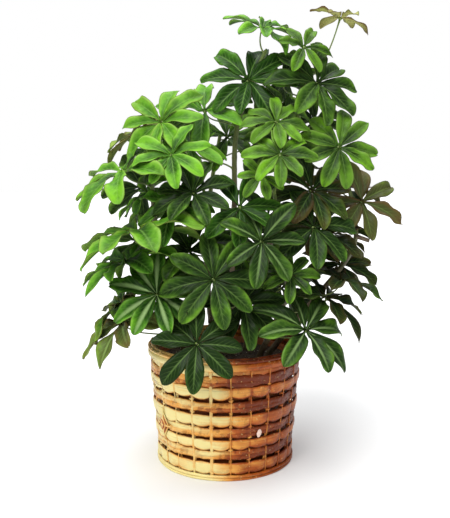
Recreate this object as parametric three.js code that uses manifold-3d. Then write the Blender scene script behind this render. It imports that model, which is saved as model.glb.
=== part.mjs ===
// Potted umbrella plant: a bushy dwarf schefflera in a plastic nursery pot, which stands inside
// a basket of wide splints held between stakes and thin outer ties.
// Millimetres, +Z up. The origin is the centre of the basket's underside and -Y is the front.
import * as THREE from "three";
import { mergeVertices } from "three/addons/utils/BufferGeometryUtils.js";
import Module from "manifold-3d";

const wasm = await Module();
wasm.setup();

// Basket
const BASKET_HEIGHT = 221;
const FOOT_RADIUS = 124;
const RIM_RADIUS = 142;
const TIE_COUNT = 24;
const TIE_PHASE = 4.5;
const TIE_WIDTH = 5;
const TIE_THICKNESS = 1.4;
const TIE_GAP = 0.7;
const TIES_PER_STAKE = 2;
const STAKE_WIDTH = 6;
const STAKE_THICKNESS = 1.6;
const SPLINT_THICKNESS = 1.8;
const SPLINT_BOW = 2.6;
const WEAVER_THICKNESS = 1.6;
const WEAVER_BOW = 3.2;
const FLOOR_TOP = 8;
const HOOP_DEPTH = 9;
const RIM_UNDERSIDE = 199.5;
const STRIP_SUNK_IN_FOOT = 3;
const STRIP_SUNK_IN_RIM = 6;
const SPLINT_HEIGHTS = [[12.5, 33], [59, 75], [101, 120], [152, 170]];
const WEAVER_HEIGHTS = [[41, 54], [82, 95], [128, 142], [173, 189]];
const LASHING_TIE = -4;
const LASHING_HEIGHT = 86;
const LASHING_HALF_SIZE = [17, 23, 7];

// Nursery pot and soil
const POT_TOP = 197;
const POT_FOOT_RADIUS = 113;
const POT_TOP_RADIUS = 128.2;
const POT_LIP = 2.6;
const POT_LIP_HEIGHT = 8;
const POT_WALL = 2;
const POT_FLOOR = 3;
const POT_SEGMENTS = 32;
const DRAIN_COUNT = 4;
const DRAIN_RADIUS = 6;
const DRAIN_PLACE = 0.6;
const SOIL_TOP = 186;
const SOIL_CROWN = 4;
const STEM_HOLE_FLOOR = 110;
const STEM_HOLE_GAP = 0.4;

// Plant
const FIT = 0.3;
const STEM_SIDES = 6;
const STEM_STEP = 56;
const STEM_TOP_GIRTH = 0.5;
const STUB_RADII = [4.2, 3.6];
const PETIOLE_SIDES = 3;
const PETIOLE_STEPS = 3;
const PETIOLE_RADIUS = 1.9;
const PETIOLE_TAPER = 0.3;
const PETIOLE_DROP = 0.45;
const PETIOLE_LEAVING = [0.26, 0.23];
const PETIOLE_ARRIVING = 0.38;
const HUB_RADIUS = 5;
const HUB_HALF_THICKNESS = 2.2;
const RIB_HALF_THICKNESS = 0.8;
const LEAFLET_WIDTH = 0.36;
const LEAFLET_LIFT = 14;
const LEAFLET_BEND = 34;
const LEAFLET_SAG = 0.16;
const LEAFLET_FOLD = 18;
const LEAFLET_FOOT = 0.08;
const LEAFLET_FOOT_HALF_WIDTH = 1.2;
const RIB_STEPS = 20;
const SECTION_STEPS = [8, 16];
const SWAY_STEPS = [0.6180339887, 0.7548776662, 0.5698402910];
const SWAY_OF_TURN = 6;
const SWAY_OF_REACH = 0.1;
const SWAY_OF_LIFT = 8;
const SWAY_OF_BEND = 14;
const CLEARING_LIFTS = [0, 6, -6, 12, -12, 18, -18, 26, -26, 34, -34];
const CLEARING_STARTS = [0, -15, 15, -30, 30, -45, 45];
const CLEARANCE = 0.5;

// Each stem has the height to which it is bare wood, its radius at the soil, the points that
// it grows through, and its leaves. A leaf is the place x, y, z of the hub where its leaflets
// meet, the leaflets' reach and number, the way the leaf faces as a tilt from upright and a
// heading in degrees, and the turn of its leaflets about the hub.
const STEMS = [
  {
    name: "left_front",
    woodyTo: 226,
    girth: 6.5,
    path: [[-62, -45, 186], [-88, -62, 260], [-108, -74, 340], [-112, -78, 420]],
    leaves: [
      [-112, -150, 334, 84, 9, 58, 262, 10],
      [-166, -105, 382, 96, 8, 26, 200, 10],
      [-178, -90, 272, 92, 8, 42, 215, 20],
      [-144, -134, 436, 116, 8, 22, 205, -5],
      [-84, -112, 478, 76, 7, 40, 250, 15],
      [-184, -44, 300, 94, 7, 42, 190, 0],
    ],
  },
  {
    name: "left",
    woodyTo: 345,
    girth: 6.5,
    path: [[-55, 15, 186], [-95, 5, 300], [-125, -20, 440], [-128, -35, 540], [-118, -40, 600]],
    leaves: [
      [-109, -60, 618, 82, 8, 55, 245, 5],
      [-89, -112, 561, 72, 8, 45, 255, 20],
      [-172, -90, 534, 102, 8, 34, 215, 10],
      [-160, 30, 600, 78, 8, 28, 175, 0],
      [-140, -12, 494, 74, 7, 40, 200, 12],
      [-170, 60, 400, 90, 7, 60, 150, 12],
      [-100, 34, 612, 80, 7, 30, 120, 12],
    ],
  },
  {
    name: "centre_front",
    woodyTo: 226,
    girth: 6,
    path: [[-8, -62, 186], [-14, -82, 280], [-22, -88, 400], [-36, -78, 500]],
    leaves: [
      [-45, -190, 260, 82, 8, 62, 270, 44],
      [-19, -160, 360, 88, 8, 66, 276, 8],
      [-53, -125, 498, 72, 8, 50, 262, 27],
      [30, -125, 315, 84, 8, 62, 286, 0],
      [-60, -100, 400, 84, 8, 50, 240, 0],
    ],
  },
  {
    name: "centre",
    woodyTo: 405,
    girth: 7,
    path: [[8, 20, 186], [14, 14, 320], [17, 0, 480], [20, -5, 600], [48, 0, 690], [72, 4, 745]],
    leaves: [
      [-36, 4, 640, 97, 8, 38, 245, 16],
      [41, -14, 692, 90, 8, 54, 262, 38],
      [66, 0, 784, 72, 8, 30, 310, 10],
      [-60, -50, 576, 72, 8, 42, 262, 10],
      [24, -114, 474, 80, 7, 55, 276, 12],
      [104, 6, 642, 80, 7, 34, 20, 12],
    ],
  },
  {
    name: "right_front",
    woodyTo: 226,
    girth: 6,
    path: [[55, -50, 186], [84, -72, 260], [108, -80, 330], [96, -84, 420], [84, -80, 500]],
    leaves: [
      [134, -146, 272, 92, 8, 44, 308, -8],
      [110, -125, 362, 52, 7, 55, 275, 0],
      [90, -122, 561, 62, 8, 52, 270, 0],
      [61, -112, 527, 44, 7, 60, 270, 25],
      [150, -100, 440, 80, 7, 50, 290, 0],
      [60, -140, 420, 80, 7, 60, 280, 0],
      [204, -70, 344, 78, 8, 16, 335, 0],
      [180, -60, 310, 90, 7, 30, 335, 10],
    ],
  },
  {
    name: "right",
    woodyTo: 296,
    girth: 6.5,
    path: [[78, 8, 186], [160, 2, 290], [222, 0, 370], [240, 0, 420], [226, 0, 500], [206, -14, 550]],
    stub: [[238, 0, 416], [264, -2, 407]],
    leaves: [
      [196, -64, 575, 74, 9, 72, 280, 0],
      [248, 0, 478, 84, 7, 60, 288, 22],
      [226, 56, 504, 80, 7, 34, 310, 0],
      [172, -30, 419, 82, 8, 25, 290, 0],
      [218, 30, 358, 74, 8, 38, 300, 0],
      [200, 44, 418, 80, 7, 30, 20, 0],
    ],
  },
  {
    name: "right_tall",
    woodyTo: 430,
    girth: 7,
    path: [[40, 52, 186], [78, 48, 360], [112, 30, 540], [136, 16, 640], [150, 8, 700]],
    leaves: [
      [162, -22, 686, 92, 8, 58, 290, 42],
      [203, 0, 801, 56, 6, 16, 0, 30],
      [138, -20, 748, 54, 6, 50, 280, 0],
      [86, -84, 616, 60, 8, 48, 276, 0],
      [168, 66, 624, 74, 7, 50, 50, 0],
      [120, 100, 590, 92, 7, 50, 95, 0],
      [150, -60, 500, 80, 8, 55, 290, 0],
      [110, 90, 700, 84, 7, 35, 90, 0],
    ],
  },
  {
    name: "back",
    woodyTo: 236,
    girth: 7,
    path: [[-22, 70, 186], [-36, 105, 340], [-30, 118, 480], [-10, 112, 600]],
    leaves: [
      [-112, 150, 592, 90, 7, 50, 120, 0],
      [84, 180, 600, 84, 7, 56, 80, 0],
      [-165, 125, 500, 92, 7, 62, 120, 0],
      [44, 210, 396, 88, 7, 62, 90, 0],
      [90, 190, 440, 92, 7, 62, 65, 0],
      [4, 120, 598, 84, 7, 50, 268, 0],
      [30, 200, 310, 92, 7, 70, 80, 0],
      [-110, 140, 310, 92, 7, 66, 130, 0],
      [112, 128, 296, 92, 7, 62, 50, 0],
    ],
  },
];

const UP = new THREE.Vector3(0, 0, 1);
const radians = THREE.MathUtils.degToRad;

const finishes = {
  youngLeaf: { color: 0x7fa03a, roughness: 0.38, metalness: 0 },
  matureLeaf: { color: 0x2c5a30, roughness: 0.34, metalness: 0 },
  bark: { color: 0x7a5d47, roughness: 0.85, metalness: 0 },
  paleSplint: { color: 0xd9b878, roughness: 0.6, metalness: 0 },
  russetSplint: { color: 0xa8603a, roughness: 0.65, metalness: 0 },
  cane: { color: 0xb98350, roughness: 0.62, metalness: 0 },
  nurseryPlastic: { color: 0x23221f, roughness: 0.55, metalness: 0 },
  pottingSoil: { color: 0x3a2a20, roughness: 0.97, metalness: 0 },
};

// Solids

function solidOf(geometry) {
  const bare = geometry.clone();
  bare.deleteAttribute("normal");
  bare.deleteAttribute("uv");
  const merged = mergeVertices(bare, 1e-4);
  const corners = merged.index.array;
  const kept = [];
  for (let i = 0; i < corners.length; i += 3) {
    const [a, b, c] = corners.slice(i, i + 3);
    if (a !== b && b !== c && c !== a) {
      kept.push(a, b, c);
    }
  }
  const vertProperties = new Float32Array(merged.attributes.position.array);
  const triVerts = new Uint32Array(kept);
  return new wasm.Manifold(new wasm.Mesh({ numProp: 3, vertProperties, triVerts }));
}

function geometryOf(solid) {
  const { vertProperties, triVerts } = solid.getMesh();
  const geometry = new THREE.BufferGeometry();
  geometry.setAttribute("position", new THREE.BufferAttribute(vertProperties, 3));
  geometry.setIndex(new THREE.BufferAttribute(triVerts, 1));
  geometry.computeVertexNormals();
  return geometry;
}

function indexed(points, corners) {
  const geometry = new THREE.BufferGeometry();
  geometry.setFromPoints(points);
  geometry.setIndex(corners);
  return geometry;
}

// A profile of [radius, height] pairs turned about the Z axis, its first facet edge at the front.
function turned(profile, segments) {
  const points = profile.map(([r, z]) => new THREE.Vector2(r, z));
  const geometry = new THREE.LatheGeometry(points, segments);
  geometry.rotateX(Math.PI / 2);
  return geometry;
}

// Rings of corners square to a course of points, with a radius for each point.
function ringsAlong(points, radii, sides) {
  let side = new THREE.Vector3();
  return points.map((point, i) => {
    const before = points[Math.max(i - 1, 0)];
    const after = points[Math.min(i + 1, points.length - 1)];
    const tangent = after.clone().sub(before).normalize();
    if (i === 0) {
      side = new THREE.Vector3(tangent.z, 0.3, -tangent.x);
    }
    side.addScaledVector(tangent, -side.dot(tangent)).normalize();
    const other = tangent.clone().cross(side);
    return Array.from({ length: sides }, (_, k) => {
      const turn = (2 * Math.PI * k) / sides;
      const spoke = side.clone().multiplyScalar(Math.cos(turn)).addScaledVector(other, Math.sin(turn));
      return point.clone().addScaledVector(spoke, radii[i]);
    });
  });
}

// The corners of a tube's walls and of its first end, where its rings start at an index.
function tubeWalls(rings, sides, start) {
  const corners = [];
  for (let i = 0; i < rings - 1; i += 1) {
    for (let k = 0; k < sides; k += 1) {
      const a = start + i * sides + k;
      const b = start + i * sides + ((k + 1) % sides);
      corners.push(a, b, b + sides, a, b + sides, a + sides);
    }
  }
  for (let k = 1; k < sides - 1; k += 1) {
    corners.push(start, start + k + 1, start + k);
  }
  return corners;
}

// A closed tube of flat facets through the points.
function sweep(points, radii, sides) {
  const corners = tubeWalls(points.length, sides, 0);
  const last = (points.length - 1) * sides;
  for (let k = 1; k < sides - 1; k += 1) {
    corners.push(last, last + k, last + k + 1);
  }
  return indexed(ringsAlong(points, radii, sides).flat(), corners);
}

// Basket

const wallSlope = (RIM_RADIUS - FOOT_RADIUS) / BASKET_HEIGHT;
const wallRadius = (z) => FOOT_RADIUS + wallSlope * z;
const tieTurn = (k) => radians(-90 + TIE_PHASE + (360 / TIE_COUNT) * k);

// Depths below the wall's outer face of the layers that lie over each other at a tie.
const splintDepth = TIE_THICKNESS + TIE_GAP;
const stakeDepth = splintDepth + SPLINT_THICKNESS + FIT;
const weaverDepth = stakeDepth + STAKE_THICKNESS + FIT;

// A flat hoop that leans with the wall, its outer face a depth below the wall's outer face, and
// bowed outwards in each of its bays.
function band([bottom, top], depth, thickness, bow, bays) {
  const outerBottom = wallRadius(bottom) - depth;
  const outerTop = wallRadius(top) - depth;
  const profile = [
    [outerBottom - thickness, bottom],
    [outerBottom, bottom],
    [outerTop, top],
    [outerTop - thickness, top],
    [outerBottom - thickness, bottom],
  ];
  const geometry = turned(profile, 2 * bays);
  const position = geometry.attributes.position;
  for (let i = 0; i < position.count; i += 1) {
    const x = position.getX(i);
    const y = position.getY(i);
    const turn = Math.atan2(x, -y);
    const swell = 1 + (bow * Math.abs(Math.sin((turn * bays) / 2))) / Math.hypot(x, y);
    position.setXY(i, x * swell, y * swell);
  }
  geometry.rotateZ(radians(TIE_PHASE));
  return geometry;
}

// A straight strip that leans with the wall at a tie's place, its ends sunk in foot and rim.
function strip(k, width, thickness, depth) {
  const lean = Math.atan(wallSlope);
  const bottom = FLOOR_TOP - STRIP_SUNK_IN_FOOT;
  const top = RIM_UNDERSIDE + STRIP_SUNK_IN_RIM;
  const middle = (bottom + top) / 2;
  const geometry = new THREE.BoxGeometry(thickness, width, (top - bottom) / Math.cos(lean));
  geometry.rotateY(lean);
  geometry.translate(wallRadius(middle) - depth - thickness / 2, 0, middle);
  geometry.rotateZ(tieTurn(k));
  return geometry;
}

function basketFrame() {
  const foot = turned([
    [0, 0],
    [FOOT_RADIUS - 0.5, 0],
    [FOOT_RADIUS + 2.4, 2.6],
    [FOOT_RADIUS + 0.6, 5.2],
    [FOOT_RADIUS + 2.8, 7.8],
    [FOOT_RADIUS + 0.2, 10.6],
    [FOOT_RADIUS - HOOP_DEPTH, 10.6],
    [FOOT_RADIUS - HOOP_DEPTH, FLOOR_TOP],
    [0, FLOOR_TOP],
  ], TIE_COUNT);
  const rim = turned([
    [RIM_RADIUS - HOOP_DEPTH, RIM_UNDERSIDE + 1],
    [RIM_RADIUS + 0.4, RIM_UNDERSIDE],
    [RIM_RADIUS + 2.8, RIM_UNDERSIDE + 6],
    [RIM_RADIUS + 1.6, RIM_UNDERSIDE + 13],
    [RIM_RADIUS - 2.6, RIM_UNDERSIDE + 14.5],
    [RIM_RADIUS - 2.6, BASKET_HEIGHT - 1.5],
    [RIM_RADIUS - 5.6, BASKET_HEIGHT],
    [RIM_RADIUS - HOOP_DEPTH, BASKET_HEIGHT - 2],
    [RIM_RADIUS - HOOP_DEPTH, RIM_UNDERSIDE + 1],
  ], TIE_COUNT);
  const pieces = [foot, rim];
  pieces.forEach((hoop) => hoop.rotateZ(tieTurn(0.5) + Math.PI / 2));
  for (let k = 0; k < TIE_COUNT; k += 1) {
    pieces.push(strip(k, TIE_WIDTH, TIE_THICKNESS, 0));
    if (k % TIES_PER_STAKE === 0) {
      pieces.push(strip(k, STAKE_WIDTH, STAKE_THICKNESS, stakeDepth));
    }
  }
  return wasm.Manifold.union(pieces.map(solidOf));
}

// A stepped diamond of crossed ties, flat behind, over one tie on the left.
function lashing() {
  const [halfWidth, halfHeight, depth] = LASHING_HALF_SIZE;
  const steps = [[0, 0], [1, 0], [0.94, 0.3], [0.66, 0.45], [0.6, 0.75], [0.3, 0.88], [0.24, 1], [0, 1]];
  const geometry = turned(steps, 4);
  geometry.scale(halfWidth, halfHeight, depth);
  geometry.rotateX(Math.PI / 2);
  geometry.rotateZ(Math.PI / 2);
  geometry.rotateY(Math.atan(wallSlope));
  geometry.translate(wallRadius(LASHING_HEIGHT) + FIT, 0, LASHING_HEIGHT);
  geometry.rotateZ(tieTurn(LASHING_TIE));
  return solidOf(geometry);
}

// Nursery pot and soil

const potBottom = FLOOR_TOP + FIT;
const potRadius = (z) => THREE.MathUtils.mapLinear(z, potBottom, POT_TOP, POT_FOOT_RADIUS, POT_TOP_RADIUS);

function nurseryPot() {
  const shell = solidOf(turned([
    [0, potBottom],
    [POT_FOOT_RADIUS, potBottom],
    [potRadius(POT_TOP - POT_LIP_HEIGHT), POT_TOP - POT_LIP_HEIGHT],
    [POT_TOP_RADIUS + POT_LIP, POT_TOP - POT_LIP_HEIGHT],
    [POT_TOP_RADIUS + POT_LIP, POT_TOP],
    [POT_TOP_RADIUS - POT_WALL, POT_TOP],
    [potRadius(potBottom + POT_FLOOR) - POT_WALL, potBottom + POT_FLOOR],
    [0, potBottom + POT_FLOOR],
  ], POT_SEGMENTS));
  const drains = Array.from({ length: DRAIN_COUNT }, (_, k) => {
    const hole = new THREE.CylinderGeometry(DRAIN_RADIUS, DRAIN_RADIUS, 4 * POT_FLOOR, 8);
    hole.rotateX(Math.PI / 2);
    hole.translate(POT_FOOT_RADIUS * DRAIN_PLACE, 0, potBottom);
    hole.rotateZ((2 * Math.PI * k) / DRAIN_COUNT);
    return solidOf(hole);
  });
  return shell.subtract(wasm.Manifold.union(drains));
}

function soilBed(stems) {
  const bottom = potBottom + POT_FLOOR + FIT;
  const edge = (z) => potRadius(z) - POT_WALL - FIT;
  const bed = solidOf(turned([
    [0, bottom],
    [edge(bottom) - 0.5, bottom],
    [edge(SOIL_TOP), SOIL_TOP],
    [edge(SOIL_TOP) * 0.6, SOIL_TOP + SOIL_CROWN * 0.7],
    [0, SOIL_TOP + SOIL_CROWN],
  ], POT_SEGMENTS));
  const holes = stems.map((stem) => solidOf(stem.wood(STEM_HOLE_GAP)));
  return bed.subtract(wasm.Manifold.union(holes));
}

// Stems and leaves

class Stem {
  constructor({ name, woodyTo, girth, path, stub = null }) {
    this.name = name;
    this.woodyTo = woodyTo;
    this.girth = girth;
    this.stub = stub;
    const [x, y, z] = path[0];
    const rooted = [[x, y, STEM_HOLE_FLOOR - 30], [x, y, z - 36], ...path];
    const points = rooted.map((p) => new THREE.Vector3(...p));
    const curve = new THREE.CatmullRomCurve3(points, false, "catmullrom", 0.5);
    this.course = curve.getPoints(12 * (rooted.length - 1));
    this.top = path.at(-1)[2];
  }

  // The middle of the stem at a height.
  at(z) {
    const i = Math.max(1, this.course.findIndex((p) => p.z >= z));
    const above = this.course[i];
    const below = this.course[i - 1];
    return below.clone().lerp(above, (z - below.z) / (above.z - below.z));
  }

  radius(z) {
    return this.girth * THREE.MathUtils.mapLinear(z, STEM_HOLE_FLOOR, this.top, 1, STEM_TOP_GIRTH);
  }

  tube(from, to, margin = 0) {
    const steps = Math.ceil((to - from) / STEM_STEP);
    const heights = Array.from({ length: steps + 1 }, (_, i) => from + ((to - from) * i) / steps);
    const points = heights.map((z) => this.at(z));
    points[0].z -= margin;
    return sweep(points, heights.map((z) => this.radius(z) + margin), STEM_SIDES);
  }

  wood(margin = 0) {
    return this.tube(STEM_HOLE_FLOOR, this.woodyTo, margin);
  }

  shoot() {
    return this.tube(this.woodyTo + FIT, this.top);
  }
}

// An even spread of small differences between -1 and 1, fixed for each leaflet.
function sway(leaf, leaflet, salt) {
  const turns = (leaf * 16 + leaflet + 1) * SWAY_STEPS[salt];
  return 2 * (turns - Math.floor(turns)) - 1;
}

class Leaf {
  constructor(index, stem, [x, y, z, reach, count, tilt, heading, roll]) {
    this.index = index;
    this.stem = stem;
    this.hub = new THREE.Vector3(x, y, z);
    this.reach = reach;
    this.count = count;
    this.roll = roll;
    this.facing = new THREE.Vector3(
      Math.sin(radians(tilt)) * Math.cos(radians(heading)),
      Math.sin(radians(tilt)) * Math.sin(radians(heading)),
      Math.cos(radians(tilt)),
    );
    this.across = UP.clone().cross(this.facing).normalize();
    this.along = this.facing.clone().cross(this.across);
    this.lifts = [];
  }

  spoke(turn) {
    return this.across.clone().multiplyScalar(Math.cos(turn)).addScaledVector(this.along, Math.sin(turn));
  }

  turnOf(k) {
    return radians(this.roll + (360 * k) / this.count + SWAY_OF_TURN * sway(this.index, k, 0));
  }

  // A leaf stalk leaves the stem outwards and upwards, and meets the hub square to the leaf.
  stalkRings(shift) {
    const level = this.stem.at(Math.min(this.hub.z, this.stem.top));
    const spread = Math.hypot(this.hub.x - level.x, this.hub.y - level.y);
    const height = THREE.MathUtils.clamp(
      this.hub.z - PETIOLE_DROP * spread + shift,
      this.stem.woodyTo + 6,
      this.stem.top - 4,
    );
    const start = this.stem.at(height);
    const end = this.hub.clone().addScaledVector(this.facing, -HUB_HALF_THICKNESS);
    const length = start.distanceTo(end);
    const outward = end.clone().sub(start).setZ(0).normalize();
    const [sideways, upwards] = PETIOLE_LEAVING;
    const leaving = start.clone()
      .addScaledVector(outward, sideways * length)
      .addScaledVector(UP, upwards * length);
    const arriving = end.clone().addScaledVector(this.facing, -PETIOLE_ARRIVING * length);
    const points = new THREE.CubicBezierCurve3(start, leaving, arriving, end).getPoints(PETIOLE_STEPS);
    const radii = points.map((_, i) => PETIOLE_RADIUS * (1 - (PETIOLE_TAPER * i) / PETIOLE_STEPS));
    return ringsAlong(points, radii, PETIOLE_SIDES);
  }

  stalk(shift) {
    const corners = tubeWalls(PETIOLE_STEPS + 1, PETIOLE_SIDES, 0);
    const last = PETIOLE_STEPS * PETIOLE_SIDES;
    corners.push(last, last + 1, last + 2);
    return indexed(this.stalkRings(shift).flat(), corners);
  }

  // The midrib of a leaflet as points and directions, arching over and sagging from the hub.
  midrib(k, clearingLift) {
    const out = this.spoke(this.turnOf(k));
    const reach = this.reach * (1 + SWAY_OF_REACH * sway(this.index, k, 1));
    const lift = radians(LEAFLET_LIFT + SWAY_OF_LIFT * sway(this.index, k, 2) + clearingLift);
    const bend = radians(LEAFLET_BEND + SWAY_OF_BEND * sway(this.index, k, 1));
    const forward = out.clone().multiplyScalar(Math.cos(lift)).addScaledVector(this.facing, Math.sin(lift));
    const upward = this.facing.clone().multiplyScalar(Math.cos(lift)).addScaledVector(out, -Math.sin(lift));
    const flat = this.facing.clone().cross(out);
    const directions = Array.from({ length: RIB_STEPS + 1 }, (_, s) => {
      const t = s / RIB_STEPS;
      return forward.clone().multiplyScalar(Math.cos(bend * t))
        .addScaledVector(upward, -Math.sin(bend * t))
        .addScaledVector(UP, -LEAFLET_SAG * t)
        .normalize();
    });
    const points = [this.hub.clone()];
    for (let s = 0; s < RIB_STEPS; s += 1) {
      const stride = directions[s].clone().add(directions[s + 1]).multiplyScalar(reach / (2 * RIB_STEPS));
      points.push(points[s].clone().add(stride));
    }
    return { points, directions, flat, reach };
  }

  // The leaf as one thin closed blade, cut to the hub between its leaflets, on its stalk if the
  // stalk's rings are given. A leaflet whose lift is null is left out.
  blade(lifts, margin = 0, stalkRings = null) {
    const points = [
      this.hub.clone().addScaledVector(this.facing, HUB_HALF_THICKNESS + margin),
      this.hub.clone().addScaledVector(this.facing, -HUB_HALF_THICKNESS - margin),
    ];
    const corners = [];
    for (let k = 0; k < this.count; k += 1) {
      const before = this.turnOf((k + this.count - 1) % this.count) - (k === 0 ? 2 * Math.PI : 0);
      const notchTurn = (before + this.turnOf(k)) / 2;
      points.push(this.hub.clone().addScaledVector(this.spoke(notchTurn), HUB_RADIUS + margin));
    }
    const foot = this.footing(stalkRings, points, corners);
    for (let k = 0; k < this.count; k += 1) {
      const right = 2 + k;
      const left = 2 + ((k + 1) % this.count);
      const below = { 0: foot[k] };
      const both = (a, b, c) => {
        const under = (i) => below[i] ?? i;
        corners.push(a, b, c, under(c), under(b), under(a));
      };
      if (foot[k] !== foot[(k + 1) % this.count]) {
        corners.push(left, foot[k], foot[(k + 1) % this.count]);
      }
      if (lifts[k] === null) {
        both(0, right, left);
        continue;
      }
      const rib = this.midrib(k, lifts[k]);
      const first = points.length;
      SECTION_STEPS.forEach((step) => points.push(...section(rib, step, margin)));
      points.push(rib.points[RIB_STEPS]);
      const [top1, under1, left1, right1, top2, under2, left2, right2, tip] = points.slice(first)
        .map((_, i) => first + i);
      below[top1] = under1;
      below[top2] = under2;
      both(0, right, top1);
      both(0, top1, left);
      both(right, right1, top1);
      both(left, top1, left1);
      both(right1, right2, top2);
      both(right1, top2, top1);
      both(top1, top2, left2);
      both(top1, left2, left1);
      both(right2, tip, top2);
      both(top2, tip, left2);
    }
    return indexed(points, corners);
  }

  // For each leaflet, the corner under the hub that it springs from: the hub's underside, or
  // the nearest corner of the stalk's last ring.
  footing(stalkRings, points, corners) {
    if (stalkRings === null) {
      return Array(this.count).fill(1);
    }
    const start = points.length;
    const lastRing = start + PETIOLE_STEPS * PETIOLE_SIDES;
    points.push(...stalkRings.flat());
    corners.push(...tubeWalls(PETIOLE_STEPS + 1, PETIOLE_SIDES, start));
    const end = this.hub.clone().addScaledVector(this.facing, -HUB_HALF_THICKNESS);
    const spokes = stalkRings[PETIOLE_STEPS].map((corner) => corner.clone().sub(end).normalize());
    return Array.from({ length: this.count }, (_, k) => {
      const reach = spokes.map((spoke) => spoke.dot(this.spoke(this.turnOf(k))));
      return lastRing + reach.indexOf(Math.max(...reach));
    });
  }
}

// Half a leaflet's width along its length: a narrow foot, widest past the middle, a round tip.
function halfWidth(t, width) {
  const s = Math.max(0, (t - LEAFLET_FOOT) / (1 - LEAFLET_FOOT));
  const peak = 0.34;
  return LEAFLET_FOOT_HALF_WIDTH + ((width / 2) * s ** 0.95 * (1 - s) ** 0.65) / peak;
}

// The four corners of a leaflet's section: over and under the rib, then the left and right edge.
function section({ points, directions, flat, reach }, step, margin) {
  const direction = directions[step];
  const across = flat.clone().addScaledVector(direction, -direction.dot(flat)).normalize();
  const over = direction.clone().cross(across);
  const half = halfWidth(step / RIB_STEPS, LEAFLET_WIDTH * reach) + margin;
  const fold = radians(LEAFLET_FOLD);
  const thick = RIB_HALF_THICKNESS + margin;
  const edge = (side) => points[step].clone()
    .addScaledVector(across, side * half * Math.cos(fold))
    .addScaledVector(over, half * Math.sin(fold));
  return [
    points[step].clone().addScaledVector(over, thick),
    points[step].clone().addScaledVector(over, -thick),
    edge(1),
    edge(-1),
  ];
}

// Growing the plant: stems first, then stalks, then leaflets, each bent clear of what stands.

class Thicket {
  constructor() {
    this.standing = [];
  }

  add(node, leaf, geometry) {
    geometry.computeBoundingBox();
    const solid = solidOf(geometry);
    this.standing.push({ node, leaf, box: geometry.boundingBox, solid });
    return solid;
  }

  // Whether the geometry crosses anything that stands, apart from its own leaf and a set node.
  crosses(geometry, leaf, exceptNode = null) {
    geometry.computeBoundingBox();
    const near = this.standing.filter((other) => other.node !== exceptNode
      && (leaf === null || other.leaf !== leaf)
      && other.box.intersectsBox(geometry.boundingBox));
    if (near.length === 0) {
      return false;
    }
    const solid = solidOf(geometry);
    return near.some((other) => solid.intersect(other.solid).volume() > 1e-6);
  }
}

function chooseStalk(leaf, thicket) {
  const own = leaf.stem.name;
  return CLEARING_STARTS.find((shift) => !thicket.crosses(leaf.stalk(shift), leaf.index, own)) ?? null;
}

// The first lift that keeps a leaflet clear of everything, or else of every other node.
function chooseLift(leaf, k, thicket) {
  const only = (lift) => Array.from({ length: leaf.count }, (_, i) => (i === k ? lift : null));
  const shape = (lift) => leaf.blade(only(lift), CLEARANCE);
  const free = CLEARING_LIFTS.find((lift) => !thicket.crosses(shape(lift), leaf.index));
  if (free !== undefined) {
    return free;
  }
  return CLEARING_LIFTS.find((lift) => !thicket.crosses(shape(lift), leaf.index, leaf.stem.name)) ?? null;
}

function growPlant(basketParts) {
  const thicket = new Thicket();
  basketParts.forEach((geometry) => thicket.add("basket", null, geometry));
  const stems = STEMS.map((entry) => new Stem(entry));
  const shoots = new Map();
  for (const stem of stems) {
    const pieces = [thicket.add(stem.name, null, stem.shoot())];
    thicket.add(stem.name, null, stem.wood());
    if (stem.stub) {
      const ends = stem.stub.map((p) => new THREE.Vector3(...p));
      pieces.push(thicket.add(stem.name, null, sweep(ends, STUB_RADII, STEM_SIDES)));
    }
    shoots.set(stem.name, pieces);
  }
  const leaves = STEMS.flatMap((entry, s) => entry.leaves.map((row) => [stems[s], row]))
    .map(([stem, row], index) => new Leaf(index, stem, row));
  for (const leaf of leaves) {
    leaf.start = chooseStalk(leaf, thicket);
    if (leaf.start === null) {
      throw new Error(`no way clear for the stalk of leaf ${leaf.index} on stem ${leaf.stem.name}`);
    }
    thicket.add(leaf.stem.name, leaf.index, leaf.stalk(leaf.start));
  }
  for (const leaf of leaves) {
    for (let k = 0; k < leaf.count; k += 1) {
      leaf.lifts.push(chooseLift(leaf, k, thicket));
    }
    const whole = leaf.blade(leaf.lifts, 0, leaf.stalkRings(leaf.start));
    shoots.get(leaf.stem.name).push(thicket.add(leaf.stem.name, leaf.index, whole));
  }
  return { stems, shoots };
}

// Assembly

const plant = new THREE.Group();

function place(name, solid, finish) {
  const mesh = new THREE.Mesh(geometryOf(solid), new THREE.MeshStandardMaterial(finishes[finish]));
  mesh.name = name;
  plant.add(mesh);
}

const splints = SPLINT_HEIGHTS.map((heights) => (
  band(heights, splintDepth, SPLINT_THICKNESS, SPLINT_BOW, TIE_COUNT)
));
const weavers = WEAVER_HEIGHTS.map((heights) => (
  band(heights, weaverDepth, WEAVER_THICKNESS, WEAVER_BOW, TIE_COUNT / TIES_PER_STAKE)
));
const frame = basketFrame();
place("basket_frame", frame, "cane");
splints.forEach((geometry, i) => place(`splint_band_${i + 1}`, solidOf(geometry), "paleSplint"));
weavers.forEach((geometry, i) => place(`weaver_band_${i + 1}`, solidOf(geometry), "russetSplint"));
place("basket_lashing", lashing(), "cane");
place("nursery_pot", nurseryPot(), "nurseryPlastic");

const { stems, shoots } = growPlant([geometryOf(frame), ...splints]);
place("soil", soilBed(stems), "pottingSoil");
const youngStems = ["left", "centre", "left_front"];
for (const stem of stems) {
  place(`stem_${stem.name}`, solidOf(stem.wood()), "bark");
  const finish = youngStems.includes(stem.name) ? "youngLeaf" : "matureLeaf";
  place(`leaves_${stem.name}`, wasm.Manifold.union(shoots.get(stem.name)), finish);
}

export default plant;
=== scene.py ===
"""Looks of a potted umbrella plant: leaves, stems, soil, nursery pot and splint basket.

Sizes in the classes are millimetres and degrees; a finished piece's mesh is in metres.
"""

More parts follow.
